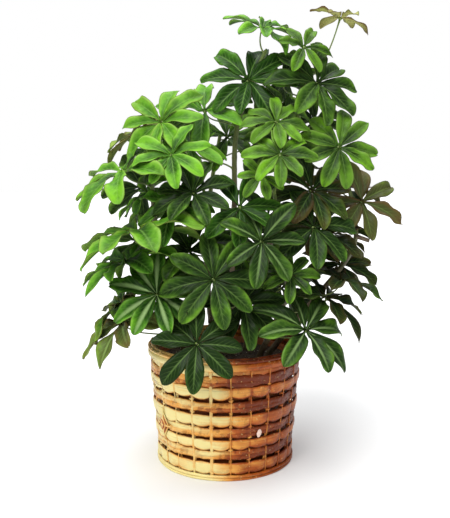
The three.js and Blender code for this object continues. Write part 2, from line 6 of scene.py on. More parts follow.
import logging
import math
import random
from collections.abc import Callable, Sequence
from dataclasses import dataclass
from enum import Enum

import bmesh
import bpy
from mathutils import Matrix, Vector, noise
from mathutils.geometry import interpolate_bezier
from mathutils.kdtree import KDTree


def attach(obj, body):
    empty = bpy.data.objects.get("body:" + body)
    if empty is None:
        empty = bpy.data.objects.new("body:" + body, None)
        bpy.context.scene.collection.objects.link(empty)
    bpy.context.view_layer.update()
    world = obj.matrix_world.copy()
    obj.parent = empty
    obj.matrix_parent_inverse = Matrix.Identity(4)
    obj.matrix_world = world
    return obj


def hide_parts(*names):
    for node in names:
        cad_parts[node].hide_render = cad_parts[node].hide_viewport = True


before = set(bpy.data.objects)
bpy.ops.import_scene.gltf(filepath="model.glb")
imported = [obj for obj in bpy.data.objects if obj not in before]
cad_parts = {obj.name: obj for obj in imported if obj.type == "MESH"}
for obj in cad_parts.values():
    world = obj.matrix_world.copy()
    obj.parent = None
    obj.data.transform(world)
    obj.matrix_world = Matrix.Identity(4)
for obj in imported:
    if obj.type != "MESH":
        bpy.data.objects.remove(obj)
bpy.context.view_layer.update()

log = logging.getLogger("umbrella_plant")

METRE = 0.001
FULL = 2 * math.pi
UP = Vector((0.0, 0.0, 1.0))
Colour = tuple[float, float, float]
Place = tuple[float, float, float]
Pair = tuple[float, float]
Socket = bpy.types.NodeSocket
Material = bpy.types.Material
Draft = bmesh.types.BMesh
Corner = bmesh.types.BMVert


class Slot(Enum):
    """Material slots."""

    LEAF_YOUNG = "leaf_young"
    LEAF_MATURE = "leaf_mature"
    BARK = "bark"
    SPLINT_PALE = "splint_pale"
    SPLINT_RUSSET = "splint_russet"
    CANE = "cane"
    NURSERY_PLASTIC = "nursery_plastic"
    SOIL = "soil"


class Blend(Enum):
    """Ways in which one colour is laid over another."""

    MIX = "MIX"
    MULTIPLY = "MULTIPLY"


# Node trees


class Recipe:
    """The node tree of one finish, written a node at a time."""

    def __init__(
        self, name: str, roughness: float, coat: float = 0.0, coat_roughness: float = 0.2, gloss: float = 0.5
    ) -> None:
        """Starts a material whose gloss is the same all over.

        Args:
            name: The material's name.
            roughness: The roughness of the body colour.
            coat: The weight of the clear coat.
            coat_roughness: The roughness of the clear coat.
            gloss: The specular level of the body under the coat.
        """
        self.material = bpy.data.materials.new(name)
        self.material.use_nodes = True
        self.tree = self.material.node_tree
        self.shader = self.tree.nodes["Principled BSDF"]
        self.shader.inputs["Roughness"].default_value = roughness
        self.shader.inputs["Specular IOR Level"].default_value = gloss
        self.shader.inputs["Coat Weight"].default_value = coat
        self.shader.inputs["Coat Roughness"].default_value = coat_roughness

    def add(self, kind: str, inputs: dict, **settings: object) -> bpy.types.Node:
        """Adds a node.

        Args:
            kind: The node's type name without its ShaderNode prefix.
            inputs: What each input takes, a value or another node's output.
            **settings: The node's own properties.

        Returns:
            The node.
        """
        node = self.tree.nodes.new("ShaderNode" + kind)
        for key, value in settings.items():
            setattr(node, key, value)
        for key, value in inputs.items():
            if isinstance(value, Socket):
                self.tree.links.new(value, node.inputs[key])
            else:
                node.inputs[key].default_value = value
        return node

    def place(self) -> Socket:
        """Gives the object coordinates, in metres."""
        return self.add("TexCoord", {}).outputs["Object"]

    def stretched(self, scale: Place) -> Socket:
        """Gives the object coordinates scaled along each axis."""
        return self.add("Mapping", {"Vector": self.place(), "Scale": scale}).outputs["Vector"]

    def value(self, attribute: str) -> Socket:
        """Gives a number that the piece's mesh holds at each vertex."""
        return self.add("Attribute", {}, attribute_name=attribute).outputs["Fac"]

    def math(self, operation: str, *terms: object, clamp: bool = False) -> Socket:
        """Gives the result of one sum.

        Args:
            operation: The name of the Math node's operation.
            *terms: Numbers or outputs, in order.
            clamp: Whether the result is kept between 0 and 1.

        Returns:
            The result's output.
        """
        return self.add("Math", dict(enumerate(terms)), operation=operation, use_clamp=clamp).outputs[0]

    def times(self, value: object, factor: object, clamp: bool = False) -> Socket:
        """Gives a value times a factor."""
        return self.math("MULTIPLY", value, factor, clamp=clamp)

    def line(self, value: object, factor: object, shift: object, clamp: bool = False) -> Socket:
        """Gives a value times a factor, plus a shift."""
        return self.math("MULTIPLY_ADD", value, factor, shift, clamp=clamp)

    def rest(self, value: object) -> Socket:
        """Gives what a value leaves of 1."""
        return self.math("SUBTRACT", 1.0, value)

    def step(self, value: object, low: float, high: float) -> Socket:
        """Gives a smooth rise from 0 at the low value to 1 at the high value."""
        inputs = {"Value": value, "From Min": low, "From Max": high}
        return self.add("MapRange", inputs, interpolation_type="SMOOTHSTEP").outputs["Result"]

    def grain(self, vector: Socket, scale: float, detail: float = 3.0) -> Socket:
        """Gives noise between 0 and 1."""
        return self.add("TexNoise", {"Vector": vector, "Scale": scale, "Detail": detail}).outputs["Fac"]

    def mottle(self, scale: float, detail: float = 3.0) -> Socket:
        """Gives noise that is as coarse along each axis."""
        return self.grain(self.place(), scale, detail)

    def lay(self, factor: object, under: object, over: object, blend: Blend = Blend.MIX) -> Socket:
        """Lays one colour over another.

        Args:
            factor: How much of the upper colour shows.
            under: The lower colour or output.
            over: The upper colour or output.
            blend: How the two are combined.

        Returns:
            The combined colour.
        """
        node = self.add("Mix", {}, data_type="RGBA", blend_type=blend.value, clamp_factor=True)
        for index, item in ((0, factor), (6, under), (7, over)):
            if isinstance(item, Socket):
                self.tree.links.new(item, node.inputs[index])
            else:
                node.inputs[index].default_value = item if index == 0 else (*item, 1.0)
        return node.outputs[2]

    def cover(self, colour: Socket, *coats: tuple) -> Socket:
        """Lays several colours over one another.

        Args:
            colour: The lowest colour.
            *coats: A factor, a colour and at times a blend for each, from the lowest up.

        Returns:
            The combined colour.
        """
        for factor, over, *blend in coats:
            colour = self.lay(factor, colour, over, *blend)
        return colour

    def ramp(self, factor: Socket, stops: Sequence[tuple[float, Colour]]) -> Socket:
        """Gives a colour that runs through the stops as the factor goes from 0 to 1.

        Args:
            factor: The place on the ramp.
            stops: The place and colour of each stop.

        Returns:
            The colour.
        """
        node = self.add("ValToRGB", {"Fac": factor})
        band = node.color_ramp
        while len(band.elements) < len(stops):
            band.elements.new(0.5)
        for element, (position, colour) in zip(band.elements, stops):
            element.position = position
            element.color = (*colour, 1.0)
        return node.outputs["Color"]

    def finish(self, colour: Socket, height: Socket | None = None, relief: Pair = (0.5, 0.5)) -> Material:
        """Joins colour and relief to the shader.

        Args:
            colour: The surface colour.
            height: The relief, or None on a smooth surface.
            relief: The relief's depth, and how strongly it shades.

        Returns:
            The material.
        """
        self.tree.links.new(colour, self.shader.inputs["Base Color"])
        if height is not None:
            depth, strength = relief
            bump = self.add("Bump", {"Height": height, "Distance": depth * METRE, "Strength": strength})
            self.tree.links.new(bump.outputs["Normal"], self.shader.inputs["Normal"])
        return self.material


# Finishes


@dataclass(frozen=True)
class LeafFinish:
    """Smooth leathery leaf with a pale rib, veins and margin; its colour runs from painted deep shade to
    painted full light.
    """

    name: str
    # The four colours from painted deep shade to painted full light, chosen along the tone.
    deep: Colour
    dark: Colour
    fresh: Colour
    pale: Colour
    rib: Colour
    margin: Colour
    cream: Colour = (0.34, 0.50, 0.20)
    painted_sunlight: Colour = (0.240, 0.600, 0.010)
    yellowed: Colour = (0.58, 0.56, 0.18)
    scorched: Colour = (0.135, 0.066, 0.026)
    edge: Colour = (0.030, 0.034, 0.008)
    rib_strength: float = 0.55
    vein_strength: float = 0.25
    margin_strength: float = 0.72
    edge_strength: float = 0.80
    sun_strength: float = 0.38
    shades: tuple[float, float, float, float] = (0.0, 0.34, 0.66, 1.0)
    rib_band: Pair = (0.02, 0.13)
    vein_band: Pair = (0.02, 0.16)
    sun_band: Pair = (0.48, 0.66)
    margin_band: Pair = (0.64, 0.93)
    edge_band: Pair = (0.92, 1.0)
    tip_band: Pair = (0.955, 0.995)
    scorch_band: Pair = (0.62, 1.12)
    veins: float = 9.0
    vein_slant: float = -2.3
    cloud_scale: float = 34.0
    highlight_dapple_scale: float = 120.0
    sun_scale: float = 21.0
    pucker_scale: float = 240.0
    roughness: float = 0.36
    coat: float = 0.07
    coat_roughness: float = 0.18
    gloss: float = 0.05
    relief: Pair = (0.9, 0.55)

    def make(self) -> Material:
        """Makes the material, which reads the piece's blade map and its looks at each vertex.

        Returns:
            The material.
        """
        recipe = Recipe(self.name, self.roughness, self.coat, self.coat_roughness, self.gloss)
        sheet = recipe.add("UVMap", {}, uv_map="blade").outputs["UV"]
        parts = recipe.add("SeparateXYZ", {"Vector": sheet})
        side = recipe.math("ABSOLUTE", recipe.line(parts.outputs["X"], 2.0, -1.0))
        length = parts.outputs["Y"]
        cloudy = recipe.mottle(self.cloud_scale)
        tone = self.tone(recipe, side, length, cloudy)
        # The tone squared: large only where the leaf is painted lit.
        lit_squared = recipe.times(tone, tone)
        striped = recipe.value("ribbed")
        spread = recipe.math("DIVIDE", side, recipe.line(striped, 2.0, 1.0))
        rib = recipe.rest(recipe.step(spread, *self.rib_band))
        rib = recipe.times(rib, recipe.math("SUBTRACT", 1.1, length))
        slant = recipe.line(length, self.veins, recipe.times(side, self.vein_slant))
        saw = recipe.math("ABSOLUTE", recipe.math("SUBTRACT", recipe.math("FRACT", slant), 0.5))
        vein = recipe.times(recipe.rest(recipe.step(saw, *self.vein_band)), recipe.rest(side))
        # Patches of painted sunlight, laid only where the leaf is painted lit.
        sunlit_patches = recipe.step(recipe.mottle(self.sun_scale, 1.0), *self.sun_band)
        # Pale margin, laid more strongly where the leaf is painted lit.
        rim = recipe.times(recipe.step(side, *self.margin_band), lit_squared)
        brink = recipe.step(side, *self.edge_band)
        brink = recipe.math("MAXIMUM", brink, recipe.step(length, *self.tip_band))
        outward = recipe.math("MAXIMUM", side, length)
        burnt = recipe.step(recipe.line(cloudy, 0.5, outward), *self.scorch_band)
        # The tone picks the colour from painted deep shade to painted full light.
        shades = tuple(zip(self.shades, (self.deep, self.dark, self.fresh, self.pale)))
        colour = recipe.cover(
            recipe.ramp(tone, shades),
            (recipe.times(vein, self.vein_strength), self.rib),
            (recipe.times(rib, self.rib_strength), self.rib),
            (recipe.times(rib, striped, clamp=True), self.cream),
            (recipe.times(sunlit_patches, recipe.times(lit_squared, self.sun_strength)), self.painted_sunlight),
            (recipe.times(recipe.value("yellow"), recipe.line(cloudy, 0.6, 0.55)), self.yellowed),
            (recipe.times(rim, self.margin_strength), self.margin),
            (recipe.times(brink, self.edge_strength), self.edge),
            (recipe.times(burnt, recipe.value("scorch")), self.scorched),
        )
        pucker = recipe.line(recipe.mottle(self.pucker_scale, 2.0), 0.35, recipe.times(vein, -0.7))
        return recipe.finish(colour, recipe.math("SUBTRACT", pucker, rib), self.relief)

    def tone(self, recipe: Recipe, side: Socket, length: Socket, cloudy: Socket) -> Socket:
        """Gives the blade's tone, which paints light and shade over the leaf's age: paler towards its margin,
        and paler towards its tip with painted shade at the hub.

        Args:
            recipe: The node tree.
            side: The distance from the rib, 1 at the margin.
            length: The distance from the foot, 1 at the tip.
            cloudy: Coarse noise.

        Returns:
            The tone, from 0 in the deepest painted shade to 1 in the palest painted light.
        """
        # Coarse mottling of the colour, with a fine dapple of painted highlights.
        drift = recipe.line(cloudy, 1.1, recipe.line(recipe.mottle(self.highlight_dapple_scale, 2.0), 0.6, -0.87))
        # Painted shade at the leaflet's foot by the hub, fading towards the tip.
        hub_shade = recipe.line(recipe.step(length, 0.05, 0.75), 0.46, -0.62)
        outwards = recipe.line(recipe.step(side, 0.05, 0.85), 0.40, hub_shade)
        return recipe.math("ADD", recipe.math("ADD", recipe.value("tone"), outwards), drift, clamp=True)


@dataclass(frozen=True)
class StalkFinish:
    """Green leaf stalks and shoots, browner towards their foot."""

    name: str = "green_stalk"
    young: Colour = (0.20, 0.30, 0.06)
    aged: Colour = (0.10, 0.075, 0.035)
    speck: Colour = (0.45, 0.42, 0.25)

    def make(self) -> Material:
        """Makes the material, which reads the age at each vertex.

        Returns:
            The material.
        """
        recipe = Recipe(self.name, 0.45, 0.1)
        streaks = recipe.grain(recipe.stretched((90.0, 90.0, 14.0)), 1.0)
        aged = recipe.line(streaks, 0.7, recipe.value("age"), clamp=True)
        colour = recipe.lay(aged, self.young, self.aged)
        specks = recipe.step(recipe.mottle(420.0, 1.0), 0.66, 0.74)
        return recipe.finish(recipe.lay(recipe.times(specks, 0.5), colour, self.speck), streaks, (0.4, 0.4))


@dataclass(frozen=True)
class BarkFinish:
    """Thin bark with pale breathing pores and dark cracks."""

    name: str = "schefflera_bark"
    pale: Colour = (0.235, 0.175, 0.115)
    dark: Colour = (0.060, 0.036, 0.024)
    pore: Colour = (0.42, 0.36, 0.27)

    def make(self) -> Material:
        """Makes the material from upright plates, broad patches and pores.

        Returns:
            The material.
        """
        recipe = Recipe(self.name, 0.78)
        plates = recipe.grain(recipe.stretched((1.0, 1.0, 0.22)), 150.0, 5.0)
        shade = recipe.line(recipe.mottle(24.0), 0.6, recipe.times(plates, 0.6), clamp=True)
        colour = recipe.lay(recipe.step(shade, 0.35, 0.78), self.dark, self.pale)
        cells = recipe.add("TexVoronoi", {"Vector": recipe.stretched((1.0, 1.0, 1.8)), "Scale": 230.0})
        pores = recipe.rest(recipe.step(cells.outputs["Distance"], 0.12, 0.22))
        colour = recipe.lay(recipe.times(pores, 0.6), colour, self.pore)
        return recipe.finish(colour, recipe.line(pores, 0.5, plates), (1.2, 0.7))


@dataclass(frozen=True)
class SplintFinish:
    """Varnished split cane, painted from straw on the lit left through orange to dark red-brown in shade on
    the right.
    """

    name: str
    stain: float
    # Reach: how far painted shade darkens the colour towards the right.
    reach: float
    # Charring: how strongly dark lumps are laid; they gather where the colour is darker, so also in painted
    # shade.
    charring: float
    along: Place
    straw: Colour = (0.86, 0.73, 0.31)
    honey: Colour = (0.80, 0.37, 0.070)
    russet: Colour = (0.45, 0.098, 0.012)
    maroon: Colour = (0.165, 0.026, 0.004)
    roughness: float = 0.42
    coat: float = 0.14
    coat_roughness: float = 0.16
    gloss: float = 0.2
    shades: tuple[float, float, float, float] = (0.10, 0.42, 0.70, 1.0)
    # Where painted shade sets in across the front and round the sides, and the front's share of it.
    front_shade_band: Pair = (-0.02, 0.04)
    side_shade_band: Pair = (-0.12, 0.13)
    front_shade_share: float = 0.6
    crease_shade_depth: float = 0.42
    crease_shade_band: Pair = (0.55, 1.1)
    fibre_band: Pair = (0.26, 0.42)
    fibre_strength: float = 0.55
    fleck_band: Pair = (0.62, 0.74)
    fleck_strength: float = 0.35
    lump_band: Pair = (0.50, 0.60)
    patch_scale: float = 17.0
    fleck_scale: float = 230.0
    lump_scale: float = 95.0
    relief: Pair = (0.9, 0.6)

    def make(self) -> Material:
        """Makes the material; along holds the grain's scale on each axis.

        Returns:
            The material.
        """
        recipe = Recipe(self.name, self.roughness, self.coat, self.coat_roughness, self.gloss)
        across = recipe.add("SeparateXYZ", {"Vector": recipe.place()}).outputs["X"]
        # Painted shade: the colour darkens from the lit left to the shaded right.
        sides = recipe.step(across, *self.side_shade_band)
        sides = recipe.line(recipe.step(across, *self.front_shade_band), self.front_shade_share, sides)
        painted_side_shade = recipe.line(sides, self.reach / (1 + self.front_shade_share), self.stain)
        patches = recipe.grain(recipe.stretched((1.0, 1.0, 2.6)), self.patch_scale, 2.0)
        patches = recipe.line(patches, 0.75, -0.375)
        fibres = recipe.grain(recipe.stretched(self.along), 1.0, 4.0)
        streak = recipe.line(fibres, 0.4, -0.2)
        # Painted shade in the creases and along the bands' edges, together with varnish gathered there; aged
        # and worn carry it into the colour.
        crease_shade = recipe.value("crease_shade")
        aged = recipe.math("ADD", recipe.value("stain"), recipe.times(crease_shade, self.crease_shade_depth))
        worn = recipe.math("ADD", streak, aged)
        # The place on the ramp: stain, mottling and grain, darkened by painted shade on the right and in the
        # creases.
        shade = recipe.math("ADD", recipe.math("ADD", painted_side_shade, patches), worn, clamp=True)
        shades = tuple(zip(self.shades, (self.straw, self.honey, self.russet, self.maroon)))
        dark_lines = recipe.rest(recipe.step(fibres, *self.fibre_band))
        flecks = recipe.step(recipe.mottle(self.fleck_scale, 2.0), *self.fleck_band)
        # Dark lines in the deepest creases: painted shade with gathered varnish, stronger where the colour is
        # darker.
        crease_shade_line = recipe.step(crease_shade, *self.crease_shade_band)
        lumps = recipe.mottle(self.lump_scale, 4.0)
        # Dark lumps, laid more thickly where the colour is darker, so they gather in the painted shade on the
        # right.
        char_and_shade_lumps = recipe.times(recipe.step(lumps, *self.lump_band), recipe.times(shade, self.charring))
        colour = recipe.cover(
            recipe.ramp(shade, shades),
            (recipe.times(dark_lines, self.fibre_strength), self.maroon, Blend.MULTIPLY),
            (recipe.times(flecks, self.fleck_strength), self.straw),
            (recipe.times(crease_shade_line, recipe.line(shade, 0.6, 0.4)), self.maroon),
            (char_and_shade_lumps, self.maroon),
        )
        return recipe.finish(colour, recipe.line(lumps, -4.0 * self.charring, fibres), self.relief)


@dataclass(frozen=True)
class PlasticFinish:
    """Dark terracotta-brown nursery plastic with faint scuffs."""

    name: str = "nursery_plastic"
    body: Colour = (0.340, 0.090, 0.022)
    scuff: Colour = (0.340, 0.110, 0.030)

    def make(self) -> Material:
        """Makes the material, scuffed round the pot.

        Returns:
            The material.
        """
        recipe = Recipe(self.name, 0.5)
        scuffs = recipe.step(recipe.grain(recipe.stretched((8.0, 8.0, 60.0)), 2.0, 5.0), 0.55, 0.8)
        return recipe.finish(recipe.lay(scuffs, self.body, self.scuff), recipe.mottle(900.0, 1.0), (0.2, 0.3))


@dataclass(frozen=True)
class SoilFinish:
    """Peat potting mix."""

    name: str = "potting_soil"
    damp: Colour = (0.020, 0.013, 0.009)
    dry: Colour = (0.095, 0.060, 0.038)
    fibre: Colour = (0.20, 0.13, 0.07)

    def make(self) -> Material:
        """Makes the material from crumbs and loose fibres.

        Returns:
            The material.
        """
        recipe = Recipe(self.name, 0.92)
        crumbs = recipe.mottle(260.0, 6.0)
        colour = recipe.lay(recipe.step(crumbs, 0.38, 0.7), self.damp, self.dry)
        fibres = recipe.step(recipe.grain(recipe.stretched((3.0, 1.0, 1.0)), 300.0, 1.0), 0.66, 0.72)
        return recipe.finish(recipe.lay(recipe.times(fibres, 0.5), colour, self.fibre), crumbs, (2.0, 0.9))


@dataclass(frozen=True)
class GritFinish:
    """Bark chips and white perlite grains on the soil."""

    name: str
    body: Colour
    dark: Colour

    def make(self) -> Material:
        """Makes the material, pitted where it is dark.

        Returns:
            The material.
        """
        recipe = Recipe(self.name, 0.85)
        spots = recipe.mottle(500.0)
        return recipe.finish(recipe.lay(spots, self.dark, self.body), spots, (0.6, 0.6))


@dataclass(frozen=True)
class FloorFinish:
    """Plain pale floor."""

    name: str = "pale_floor"
    body: Colour = (0.75, 0.75, 0.755)
    worn: Colour = (0.72, 0.72, 0.725)
    glow: float = 0.12

    def make(self) -> Material:
        """Makes the material, which glows a little like a lit photographer's table.

        Returns:
            The material.
        """
        recipe = Recipe(self.name, 0.9, gloss=0.0)
        recipe.shader.inputs["Emission Color"].default_value = (1.0, 1.0, 1.0, 1.0)
        recipe.shader.inputs["Emission Strength"].default_value = self.glow
        return recipe.finish(recipe.lay(recipe.times(recipe.mottle(3.0), 0.02), self.body, self.worn))


# Shaping


def wave(place: Vector, scale: float = 1.0, seed: float = 0.0) -> float:
    """Gives smooth noise between about -1 and 1 at a place in millimetres."""
    return noise.noise(place * scale + Vector((seed, seed * 1.7, -seed)))


def polar(radius: float, angle: float, z: float = 0.0) -> Vector:
    """Gives the point at a radius and an angle about the Z axis."""
    return Vector((radius * math.cos(angle), radius * math.sin(angle), z))


def finished(
    bm: Draft, name: str, nodes: Sequence[str], materials: Sequence[Material]
) -> bpy.types.Object:
    """Turns a mesh in millimetres into a piece of the plant.

    Args:
        bm: The mesh, which is used up.
        name: The piece's name.
        nodes: The solids that it stands for.
        materials: The finishes, in the order that the faces count them.

    Returns:
        The piece.
    """
    bmesh.ops.scale(bm, vec=Vector((METRE, METRE, METRE)), verts=bm.verts)
    for face in bm.faces:
        face.smooth = True
    mesh = bpy.data.meshes.new(name)
    bm.to_mesh(mesh)
    bm.free()
    for material in materials:
        mesh.materials.append(material)
    piece = bpy.data.objects.new(name, mesh)
    bpy.context.scene.collection.objects.link(piece)
    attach(piece, "root")
    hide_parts(*nodes)
    log.info("%s: %d faces", name, len(mesh.polygons))
    return piece


def spin_profile(bm: Draft, profile: Sequence[Pair], steps: int, closed: bool = True) -> list[Corner]:
    """Turns a profile about the Z axis.

    Args:
        bm: The mesh that takes the shape.
        profile: Radius and height pairs, anticlockwise seen with the axis on the left.
        steps: The number of facets in the full turn.
        closed: Whether the last pair joins the first.

    Returns:
        The new vertices.
    """
    before = set(bm.verts)
    verts = [bm.verts.new((radius, 0.0, height)) for radius, height in profile]
    pairs = list(zip(verts, verts[1:])) + ([(verts[-1], verts[0])] if closed else [])
    edges = [bm.edges.new(pair) for pair in pairs]
    bmesh.ops.spin(
        bm,
        geom=verts + edges,
        cent=(0.0, 0.0, 0.0),
        axis=(0.0, 0.0, 1.0),
        angle=FULL,
        steps=steps,
        use_merge=True,
        use_duplicate=False,
    )
    made = [vert for vert in bm.verts if vert not in before]
    bmesh.ops.remove_doubles(bm, verts=made, dist=0.001)
    made = [vert for vert in bm.verts if vert not in before]
    faces = {face for vert in made for face in vert.link_faces}
    bmesh.ops.recalc_face_normals(bm, faces=list(faces))
    return made


def joined(bm: Draft, part: Draft) -> list[Corner]:
    """Moves a small mesh into a larger one.

    Args:
        bm: The mesh that takes the part.
        part: The part, which is used up.

    Returns:
        The part's vertices in the larger mesh.
    """
    start = len(bm.verts)
    carrier = bpy.data.meshes.new("carrier")
    part.to_mesh(carrier)
    part.free()
    bm.from_mesh(carrier)
    bpy.data.meshes.remove(carrier)
    bm.verts.ensure_lookup_table()
    return bm.verts[start:]


def sweep_course(
    bm: Draft,
    points: Sequence[Vector],
    sizes: Sequence[Pair],
    sides: int,
    outward: Vector | None = None,
    loop: bool = False,
) -> list[Corner]:
    """Rolls a grid into a round or flat rod along a course of points.

    Args:
        bm: The mesh that takes the rod.
        points: The middle of each ring.
        sizes: The half thickness along outward and the half width across it, for each ring.
        sides: The number of corners in a ring.
        outward: The way that the thickness faces, or None to let it follow the bend.
        loop: Whether the last ring joins the first.

    Returns:
        The rod's vertices.
    """
    count = len(points)
    axes = []
    side = outward or Vector((0.31, 0.87, 0.12))
    for index in range(count):
        after = points[(index + 1) % count] if loop else points[min(index + 1, count - 1)]
        before = points[index - 1] if loop or index > 0 else points[0]
        tangent = (after - before).normalized()
        reference = side if outward is None else outward
        side = (reference - tangent * tangent.dot(reference)).normalized()
        axes.append((side, tangent.cross(side)))
    part = bmesh.new()
    rings = count if loop else count - 1
    bmesh.ops.create_grid(part, x_segments=rings, y_segments=sides, size=1.0)
    for vert in part.verts:
        index = round((vert.co.x + 1) / 2 * rings) % count
        turn = math.pi * (vert.co.y + 1)
        thickness, width = sizes[index]
        out, across = axes[index]
        vert.co = points[index] + out * (math.cos(turn) * thickness) + across * (math.sin(turn) * width)
    bmesh.ops.remove_doubles(part, verts=part.verts, dist=0.0001)
    if not loop:
        open_edges = [edge for edge in part.edges if edge.is_boundary]
        bmesh.ops.holes_fill(part, edges=open_edges, sides=sides)
    bmesh.ops.recalc_face_normals(part, faces=part.faces)
    return joined(bm, part)


def sweep_round(bm: Draft, points: Sequence[Vector], radii: Sequence[float], sides: int) -> list[Corner]:
    """Rolls a round rod along a course of points, with a radius for each."""
    return sweep_course(bm, points, [(radius, radius) for radius in radii], sides)


# The plant


@dataclass(frozen=True)
class LeafRow:
    """One leaf: the place where its leaflets meet, how it faces, and how it is coloured."""

    hub: Place
    reach: float
    count: int
    tilt: float
    heading: float
    roll: float
    # How pale the whole leaf is: painted light and shade together with its age, from 0 to 1.
    tone: float
    scorch: float = 0.0
    yellow: float = 0.0
    ribbed: float = 0.0


@dataclass(frozen=True)
class StemRow:
    """One stem: bare wood up to a height, then a green shoot, along a course of points."""

    name: str
    woody_to: float
    girth: float
    path: tuple[Place, ...]
    leaves: tuple[LeafRow, ...]
    slot: Slot = Slot.LEAF_MATURE
    stub: tuple[Place, ...] = ()


